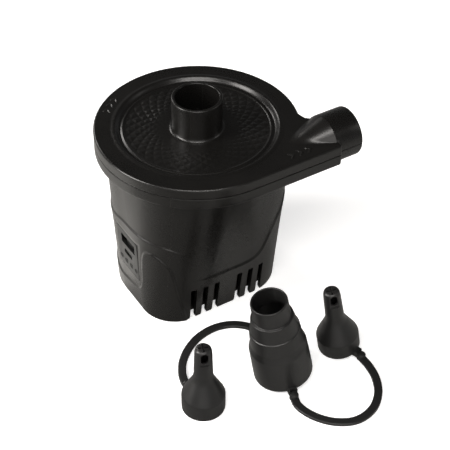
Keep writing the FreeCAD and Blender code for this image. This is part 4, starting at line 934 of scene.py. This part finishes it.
def housing_skin():
    skin = Skin(1160, [(-44.7, 1.3, 7.0), (-26.0, 4.0, 2.0), (-100, 26, 0.55),
                       (-150, 16, 0.7), (-180, 20, 0.3)])

    def body_at(z, inset=0.0):
        return sample(body_outline(z, inset), skin.angles)

    for depth, gap in reversed(PART_EDGE):
        skin.add(skin.inset(depth), PART_Z - gap)
    # Side of the band and its rounded edge, kept shallow where the outlet tube joins
    outer = skin.inset(BAND_EDGE)
    edge_z = band_underside(outer)
    at_tube = (skin.edge[:, 0] > ARM_END - 1.3) & (edge_z < BAND_Z - 0.3)
    lift = np.where(at_tube, 0.12, 1.0) * BAND_EDGE * 0.8
    side_z = edge_z + lift
    for f in (0.1, 0.4, 0.7, 1.0):
        skin.add(skin.edge, (PART_Z - 0.5) + (side_z - (PART_Z - 0.5)) * f)
    for k in range(1, 6):
        a = math.pi / 2 * k / 5
        skin.add(skin.inset(BAND_EDGE * (1 - math.cos(a))), side_z - lift * math.sin(a))
    # Underside of the band, in to just outside the body
    body, normals = body_at(BAND_Z)
    inner = body + normals * 0.7
    for f in np.linspace(0.02, 1.0, 46):
        flat = outer + (inner - outer) * f
        skin.add(flat, band_underside(flat))
    skin.add(body + normals * 0.22, BAND_Z - 0.22)
    # Body with its relief, which fades out under the band
    levels = np.concatenate([[BAND_Z - 0.9], np.arange(BAND_Z - 1.6, 1.2, -0.40), [0.9, 0.55]])
    body, normals = np.array([body_at(z) for z in levels]).swapaxes(0, 1)
    z = levels[:, None] * np.ones((1, len(skin.angles)))
    proud = relief(skin, body[:, :, 0], body[:, :, 1], z)
    proud *= (1 - smooth(BAND_Z - 5.0, BAND_Z - 1.0, z))
    for i, level in enumerate(levels):
        skin.add(body[i] + normals[i] * proud[i][:, None], level)
    # Rounded foot: (inset, height)
    foot, normals = body_at(0.0)
    for inset, level in ((0.08, 0.28), (0.28, 0.07), (0.6, 0.0), (1.5, 0.0)):
        skin.add(foot + normals * (proud[-1][:, None] - inset), level)
    # Inside of the wall: (height, inset)
    for level, inset in [(0.0, WALL - 0.25), (0.3, WALL),
                         *((level, WALL) for level in (8, 20, 32, 44, 56, 69.4))]:
        skin.add(body_at(level, inset)[0], level)
    # Ledge, motor plate seat and chamber: (radius, height)
    for r, level in ((41.5, 70.0), (39.2, 70.0), (39.2, MOTOR_PLATE_Z),
                     (CHAMBER_R, MOTOR_PLATE_Z), (CHAMBER_R, 80), (CHAMBER_R, 88),
                     (CHAMBER_R, PART_Z - PART_GAP)):
        skin.ring(r, level)
    for f in (0.4, 0.8):
        flat = skin.inset(EDGE_INSET) * f + skin.circle(CHAMBER_R) * (1 - f)
        skin.add(flat, PART_Z - PART_GAP)
    return skin.solid()


VENT_MID, VENT_FIRST, VENT_PITCH = -5.0, 7.2, 7.0
VENT_HALF, VENT_MOUTH, VENT_TOP = 1.6, 2.1, 22.6


def vent(x):
    """Cutting tool: square-topped slot in the -Y wall, its mouth opened out at the floor."""
    right = [(VENT_MOUTH, -1.0), (VENT_MOUTH, 0.0), (VENT_HALF, 1.6), (VENT_HALF, VENT_TOP)]
    outline = [(x - VENT_MOUTH, -1.0), *((x + w, z) for w, z in right),
               *((x - w, z) for w, z in right[:0:-1])]
    return prism(rounded(outline, [0, 0, 0.2, 1.4, 0.45, 0.45, 1.4, 0.2], 5), 1, -60, -27)


def wall_opening(sides, radius, steps):
    """Cutting tool: rounded rectangle (y0, y1, z0, z1) through the -X wall."""
    return prism(rounded(rect(*sides), radius, steps), 0, CUT_OUTSIDE, CUT_INSIDE)


def grown(low, high, margin):
    """Sides (y0, y1, z0, z1) of a box with a margin round it."""
    return low[1] - margin, high[1] + margin, low[2] - margin, high[2] + margin


def build_housing():
    housing = housing_skin()
    join(housing, half_tube(-1.0))
    cut(housing, air_way())
    for side in (-1, 1):
        for k in range(3):
            cut(housing, vent(VENT_MID + side * (VENT_FIRST + VENT_PITCH * k)))
    # Pocket for the switch panel and the opening behind it
    pocket = rounded(rect(*grown(panel_low, panel_high, 0.22)), 1.2, 6)
    cut(housing, prism(pocket, 0, CUT_OUTSIDE, panel_high[0] + 0.05))
    cut(housing, wall_opening((-14.2, 5.6, 22, 44), radius=1.5, steps=5))
    finish(housing, "housing", "pump", "main_housing", "satin_black")


# =========================================================================
# Switch panel, rocker, lamps, socket
# =========================================================================


def build_panel():
    plate = prism(rounded(rect(*grown(panel_low, panel_high, 0.0)), 1.1, 7), 0,
                  panel_low[0], panel_high[0], 0.22)
    # Lean the outer face to follow the wall
    middle = (panel_low[0] + panel_high[0]) / 2
    for vertex in plate.data.vertices:
        if vertex.co.x / MM < middle:
            vertex.co.x += (wall_x(vertex.co.z / MM) - 0.05 - panel_low[0]) * MM
    window = (SWITCH_Y - 7.3, SWITCH_Y + 7.3, SWITCH_Z - 3.1, SWITCH_Z + 3.1)
    cut(plate, wall_opening(window, radius=0.5, steps=4))
    cut(plate, wall_opening(grown(socket_low, socket_high, 0.2), radius=0.7, steps=5))
    for y in LAMP_YS:
        cut(plate, cylinder(LAMP_R + 0.08, CUT_OUTSIDE, CUT_INSIDE, 40, along_x(y, LAMP_Z)))
    # Shallow dish round each lamp
    face = wall_x(LAMP_Z)
    dish = [(0, CUT_OUTSIDE), (LAMP_R + 0.85, CUT_OUTSIDE), (LAMP_R + 0.85, face + 0.06),
            (LAMP_R + 0.3, face + 0.40), (0, face + 0.40)]
    for y in LAMP_YS:
        cut(plate, revolve_solid(dish, 40, along_x(y, LAMP_Z)))
    finish(plate, "panel_plate", "pump", "switch_panel", "panel_black")


def build_rocker():
    """Shallow V with three grip bars on each half and a pivot hole along z."""
    pivot_x = -42.4
    front, back = rocker_low[0] + 0.9, rocker_high[0]
    # (x, distance from the middle in y, corner radius) of one half, front to back
    half = [(front, 0.6, 0.5), (front + 0.2, 3.2, 0.8), (front + 1.3, 6.4, 0.35),
            (pivot_x - 0.9, 6.4, 0.5), (back, 1.6, 0.5)]
    outline = ([(x, SWITCH_Y - y) for x, y, _ in half[2::-1]]
               + [(x, SWITCH_Y + y) for x, y, _ in half]
               + [(x, SWITCH_Y - y) for x, y, _ in half[:2:-1]])
    radii = [r for _, _, r in half[2::-1] + half + half[:2:-1]]
    rocker = prism(rounded(outline, radii), 2, rocker_low[2], rocker_high[2], 0.28)
    grip_slope = 0.176
    for side in (-1, 1):
        for k in range(3):
            offset = 2.6 + 1.15 * k
            y = SWITCH_Y + side * offset
            x = front + 0.05 + grip_slope * (offset - 1.0)
            bar = rounded(rect(y - 0.28, y + 0.28, SWITCH_Z - 1.7, SWITCH_Z + 1.7), 0.2, 3)
            join(rocker, prism(bar, 0, x - 0.05, x + 1.4, 0.12))
    cut(rocker, cylinder(0.86, SWITCH_Z - 8, SWITCH_Z + 8, 40, upright(pivot_x, SWITCH_Y)))
    finish(rocker, "rocker_cap", "rocker", "rocker_button", "switch_black")


def build_lamps():
    """Four domed light pipes in one piece."""
    front, r = lamp_low[0], LAMP_R - 0.02
    profile = [(0, front), (LAMP_R * 0.45, front + 0.03), (LAMP_R * 0.8, front + 0.14),
               (r, front + 0.34), (r, front + 3), (r, lamp_high[0]), (0, lamp_high[0])]
    lamps = revolve_solid(profile, 40, along_x(LAMP_YS[0], LAMP_Z))
    for y in LAMP_YS[1:]:
        join(lamps, revolve_solid(profile, 40, along_x(y, LAMP_Z)))
    finish(lamps, "lamp_pipes", "pump", "charge_lamps", "lamp_smoke", sharp_degrees=40)


def build_socket():
    """Charging socket shell, open to -X, with one pair of corners rounder."""
    outer = rounded(rect(*grown(socket_low, socket_high, 0.0)), [0.5, 0.5, 0.9, 0.9], 5)
    inner = rounded(rect(*grown(socket_low, socket_high, -0.33)), [0.3, 0.3, 0.65, 0.65], 5)
    shell = prism(outer, 0, socket_low[0], socket_high[0], 0.08)
    cut(shell, prism(inner, 0, socket_low[0] - 4, socket_high[0] - 0.4))
    finish(shell, "socket_shell", "pump", "charge_socket_shell", "plated_steel")


# =========================================================================
# Nozzle set
# =========================================================================
PIN_R = 2.4                           # round pin at each end of a strap
PIN_HOLE_R = 2.46
ADAPTER_REACH, NOZZLE_REACH = 19.0, 14.7   # from a piece's base centre to its strap pivot
FRONT_LUG, REAR_LUG = -106, 74        # directions of the adapter's lugs, degrees
ADAPTER_PLACE = leaning("adapter_socket", 10.0)
ADAPTER_BASE = ADAPTER_PLACE[:2, 3]


def pivot(base, degrees, reach):
    a = math.radians(degrees)
    return np.array([base[0] + reach * math.cos(a), base[1] + reach * math.sin(a)])


def lug(base, degrees, reach, low, high, width):
    """Block that stands out from a piece's foot, flared at its root."""
    root, tip, half = reach - 7.0, reach - 1.1, width / 2
    outline = [(root, -half - 0.5), (root + 2.6, -half), (tip, -half),
               (tip, half), (root + 2.6, half), (root, half + 0.5)]
    return prism(rounded(outline, [0.3, 1.4, 0.7, 0.7, 1.4, 0.3], 5), 2, low, high, 0.35,
                 upright(*base, degrees))


def pin_hole(centre):
    return cylinder(PIN_HOLE_R, -3, 12, 56, upright(*centre))


def build_adapter():
    """Stepped adapter with a lug on each side."""
    foot_r, top = 15.7, 53.5
    # (radius, height, corner radius): up the outside, down the bore
    profile = np.array([
        (foot_r - 0.05, 0.0, 0.2), (foot_r, 0.7, 0.5), (foot_r - 0.1, 8.0, 4),
        (foot_r - 0.45, 20.6, 1.2), (foot_r - 0.62, 21.5, 0.7), (foot_r - 1.0, 22.4, 0.9),
        (14.15, 24.1, 1.0), (13.95, 25.0, 0.8), (13.2, top - 19.95, 0.28),
        (12.68, top - 19.7, 0.28), (11.15, top - 10.95, 0.28), (9.98, top - 10.65, 0.28),
        (9.72, top - 0.55, 0.3), (9.45, top - 0.06, 0.2), (9.1, top, 0.2),
        (8.75, top - 0.12, 0.2), (8.6, top - 0.6, 0.3), (8.6, top - 9.5, 1),
        (9.6, top - 12.0, 1), (11.6, top - 20.5, 1), (12.35, 22.0, 1), (13.55, 19.5, 0.6),
        (13.55, 0.8, 0.3), (13.95, 0.06, 0.2), (14.4, 0.0, 0.2)])
    outline = densify(rounded(profile[:, :2], profile[:, 2]), 1.6)
    adapter = revolve_ring(outline, 160, ADAPTER_PLACE)
    size = dict(reach=ADAPTER_REACH, low=1.2, high=4.9, width=4.8)
    lugs = lug(ADAPTER_BASE, FRONT_LUG, **size)
    join(lugs, lug(ADAPTER_BASE, REAR_LUG, **size))
    # Keep the lugs out of the bore
    cut(lugs, cylinder(13.6, -6, 19.5, 96, ADAPTER_PLACE))
    join(adapter, lugs)
    for degrees in (FRONT_LUG, REAR_LUG):
        cut(adapter, pin_hole(pivot(ADAPTER_BASE, degrees, ADAPTER_REACH)))
    finish(adapter, "adapter", "nozzle_set", "valve_adapter", "soft_black", sharp_degrees=30)


def build_nozzle(side, lug_degrees, window_degrees, lug_low, lug_high):
    """Small tapered nozzle with a slotted tip, a window in the tip's side and one lug."""
    place = leaning(side + "_nozzle_socket", 5.0)
    base = place[:2, 3]
    foot_r, top = 11.4, 42.8
    # (radius, height, corner radius): up the outside, down the bore
    profile = np.array([
        (foot_r - 0.05, 0.0, 0.2), (foot_r, 0.6, 0.4), (foot_r, 9.2, 0.45),
        (foot_r - 0.40, 10.1, 0.5), (foot_r - 3.1, 15.4, 1.5), (foot_r - 5.5, 20.2, 1.5),
        (5.3, 22.2, 1.6), (5.0, 24.0, 1.2), (4.6, top - 4.6, 2), (4.45, top - 2.2, 0.8),
        (4.05, top - 0.8, 0.6), (3.0, top - 0.12, 0.6), (0.15, top, 0.0),
        (0.15, top - 2.4, 0.0), (2.7, top - 3.4, 0.3), (3.0, top - 5.0, 0.6), (3.1, 24.0, 1),
        (3.6, 21.6, 1), (6.0, 17.2, 1), (8.2, 13.0, 1), (10.0, 9.0, 1), (10.0, 0.6, 0.3),
        (10.25, 0.05, 0.15), (10.6, 0.0, 0.15)])
    outline = densify(rounded(profile[:, :2], profile[:, 2]), 1.4)
    nozzle = revolve_ring(outline, 120, place)
    # Solid core closes the tip on the axis
    join(nozzle, revolve_solid([(0, top - 2.4), (0.6, top - 2.4), (0.6, top - 0.12), (0, top)],
                               24, place))
    # Round-ended window, a flat round it, and crossed slots in the tip's end
    turned = place @ upright(0, 0, window_degrees)
    r = 1.9
    half = np.linspace(0, math.pi, 15)
    window = ([(r * math.cos(t), top - 3.1 + r * math.sin(t)) for t in half]
              + [(-r * math.cos(t), top - 6.0 - r * math.sin(t)) for t in half])
    cut(nozzle, prism(window, 0, 0.0, 9.0, place=turned))
    flat = rounded(rect(-3.4, 3.4, top - 9.6, top + 1.0), 0.6)
    cut(nozzle, prism(flat, 0, 3.95, 9.0, place=turned))
    for x, y in ((2.8, 0.55), (0.55, 2.8)):
        slot = rounded(rect(-x, x, -y, y), 0.3, 3)
        cut(nozzle, prism(slot, 2, top - 1.5, top + 3, place=turned))
    foot_lug = lug(base, lug_degrees, NOZZLE_REACH, lug_low, lug_high, width=4.6)
    cut(foot_lug, cylinder(10.35, -5, 9.4, 96, place))
    join(nozzle, foot_lug)
    cut(nozzle, pin_hole(pivot(base, lug_degrees, NOZZLE_REACH)))
    finish(nozzle, "nozzle_" + side, side + "_nozzle", "pinch_nozzle_" + side, "soft_black",
           sharp_degrees=30)


def build_strap(side, adapter_lug, path):
    """Moulded strap from the adapter to a nozzle: a low section on the floor, a pin each end."""
    joint = next(j for j in frame["joints"] if j["name"] == side + "_nozzle_swing")
    ends = (pivot(ADAPTER_BASE, adapter_lug, ADAPTER_REACH),
            (np.array(joint["pos_m"]) / MM)[:2])
    line = catmull([ends[0], *path, ends[1]], 14)
    across = -right_of(unit(np.gradient(line, axis=0)))
    half_width, thickness = 2.2, 1.8
    section = rounded(rect(-half_width, half_width, 0.0, thickness), [0.35, 0.35, 0.62, 0.62], 5)
    offset, height = densify(section, 1.2).T
    strap = capped_tube([np.stack([x + nx * offset, y + ny * offset, height], 1)
                         for (x, y), (nx, ny) in zip(line, across)])
    pin = [(0, 0), (PIN_R - 0.3, 0), (PIN_R, 0.3), (PIN_R, 3.0), (PIN_R - 0.28, 3.5),
           (PIN_R - 0.95, 3.85), (0, 4.0)]
    for end in ends:
        join(strap, revolve_solid(pin, 56, upright(*end)))
    finish(strap, "strap_" + side, "nozzle_set", "tether_strap_" + side, "soft_black",
           sharp_degrees=30)


build_cover()
build_housing()
build_panel()
build_rocker()
build_lamps()
build_socket()
build_adapter()
build_nozzle("left", lug_degrees=94, window_degrees=-111, lug_low=0.35, lug_high=3.9)
build_nozzle("right", lug_degrees=-71, window_degrees=-109, lug_low=1.2, lug_high=4.8)
# Paths are (x, y) between the two pins
build_strap("left", REAR_LUG, [
    (0.2, -75.5), (-0.2, -69.0), (-3.4, -60.6), (-10.6, -54.2), (-20.0, -51.4), (-30.5, -52.6),
    (-40.0, -57.2), (-47.4, -63.6), (-52.0, -70.6), (-53.9, -76.2)])
build_strap("right", FRONT_LUG, [
    (-12.3, -121.0), (-11.0, -127.5), (-7.6, -134.2), (-2.0, -140.2), (5.5, -144.3),
    (13.4, -144.7), (21.6, -141.7), (28.8, -135.0), (33.4, -126.5), (35.3, -118.0)])

# =========================================================================
# Floor, light, camera (metres)
# =========================================================================
FLOOR_HALF = 4.0
# Painted reflection round the object: tone of the floor in reflections and bounced light, which paints light and
# dark streaks on the body's walls; the camera sees pale paper. Entries are (direction round the object in degrees,
# value)
FLOOR_REFLECTION_TONES = [
    (20, 0.38), (90, 0.52), (118, 0.50), (140, 0.70), (156, 0.95), (168, 1.0), (180, 0.50),
    (206, 0.22), (232, 0.20), (252, 0.34), (272, 0.48), (300, 0.50), (340, 0.42)]
# Name, place, target, width, height, power in watts
AREA_LIGHTS = [
    ("key_left", (-1.15, 0.30, 0.75), (0, -0.03, 0.04), 0.6, 1.0, 23.0),
    ("behind_camera", (-0.80, -1.30, 0.85), (0, -0.05, 0.05), 1.7, 1.1, 12.0),
    ("above_camera", (-0.38, -0.62, 1.35), (0, -0.03, 0.05), 0.9, 0.28, 9.0),
    ("rear_left", (-0.25, 1.25, 0.80), (0, 0, 0.08), 0.35, 0.5, 4.2),
    ("fill_right", (1.2, -0.8, 0.7), (0, -0.05, 0.04), 0.5, 0.7, 2.0)]
LIGHT_COLOR = (1.0, 0.965, 0.935)


def floor_paper():
    """Pale paper to the camera; in reflections and bounced light a tone that varies round the object, a painted
    reflection that gives the body's walls light and dark streaks.
    """
    g = new_material("floor_paper")
    fine = g.noise(scale=400.0, detail=3.0, rough=0.5)
    paper = g.mix(g.remap(fine), (0.90, 0.90, 0.90), (0.93, 0.93, 0.93))
    around = g.node("TexGradient")
    around.gradient_type = "RADIAL"
    turn = g.node("Mapping")
    turn.inputs["Rotation"].default_value = (0, 0, math.radians(90))
    g.feed(turn.inputs["Vector"], g.coords.outputs["Object"])
    g.feed(around.inputs[0], turn.outputs[0])
    # The gradient runs 0 to 1 over a full turn and starts at 90 degrees
    stops = sorted((((degrees + 90.0 + 180.0) % 360.0) / 360.0, (tone, tone, tone * 0.97))
                   for degrees, tone in FLOOR_REFLECTION_TONES)
    # Painted reflection: tone round the object, seen only in reflections and bounced light
    seen = g.ramp(around.outputs["Fac"], stops)
    camera_ray = g.node("LightPath").outputs["Is Camera Ray"]
    # Camera rays see the pale paper, all other rays the painted reflection tone
    g.set("Base Color", g.mix(camera_ray, seen, paper))
    g.set("Roughness", 0.85)
    g.set("Specular IOR Level", 0.1)
    g.set("Emission Color", (1, 1, 1))
    # Emission is the camera ray flag itself, scaled
    g.set("Emission Strength", g.math("MULTIPLY", camera_ray, 0.55))


def build_floor():
    mesh = bpy.data.meshes.new("floor")
    corners = rect(-FLOOR_HALF, FLOOR_HALF, -FLOOR_HALF, FLOOR_HALF)
    mesh.from_pydata([(x, y, 0) for x, y in corners], [], [(0, 1, 2, 3)])
    floor = bpy.data.objects.new("floor", mesh)
    floor.location.z = -0.00015
    bpy.context.scene.collection.objects.link(floor)
    floor_paper()
    mesh.materials.append(MATERIALS["floor_paper"])


def build_lights():
    for name, place, target, width, height, power in AREA_LIGHTS:
        light = bpy.data.lights.new(name, "AREA")
        light.shape = "RECTANGLE"
        light.size, light.size_y = width, height
        light.energy = power
        light.color = LIGHT_COLOR
        ob = bpy.data.objects.new(name, light)
        bpy.context.scene.collection.objects.link(ob)
        ob.location = place
        aim = Vector(target) - Vector(place)
        ob.rotation_euler = aim.to_track_quat("-Z", "Y").to_euler()


def build_world():
    """Dim surroundings that darken with height."""
    world = bpy.data.worlds.new("studio")
    bpy.context.scene.world = world
    g = Graph(world, "OutputWorld", "Background")
    split = g.node("SeparateXYZ")
    g.feed(split.inputs[0], g.coords.outputs["Generated"])
    tones = [(0.0, 0.30), (0.30, 0.075), (0.75, 0.030)]
    g.set("Color", g.ramp(split.outputs["Z"], [(z, (tone,) * 3) for z, tone in tones]))
    g.set("Strength", 1.0)


def build_camera():
    data = bpy.data.cameras.new("camera")
    data.sensor_width = 36.0
    data.lens = 104.0
    data.clip_start = 0.01
    data.clip_end = 20.0
    camera = bpy.data.objects.new("camera", data)
    bpy.context.scene.collection.objects.link(camera)
    forward = Vector((0.3983, 0.6349, -0.6620)).normalized()
    right = Vector((0.8471, -0.5314, 0.0)).normalized()
    up = right.cross(forward).normalized()
    turn = Matrix((right, up, -forward)).transposed().to_4x4()
    roll = Matrix.Rotation(math.radians(0.6), 4, "Z")
    camera.matrix_world = Matrix.Translation(Vector((-0.2796, -0.4744, 0.5143))) @ turn @ roll
    bpy.context.scene.camera = camera


build_floor()
build_lights()
build_world()
build_camera()
bpy.context.scene.view_settings.view_transform = "Standard"
bpy.context.scene.view_settings.look = "None"
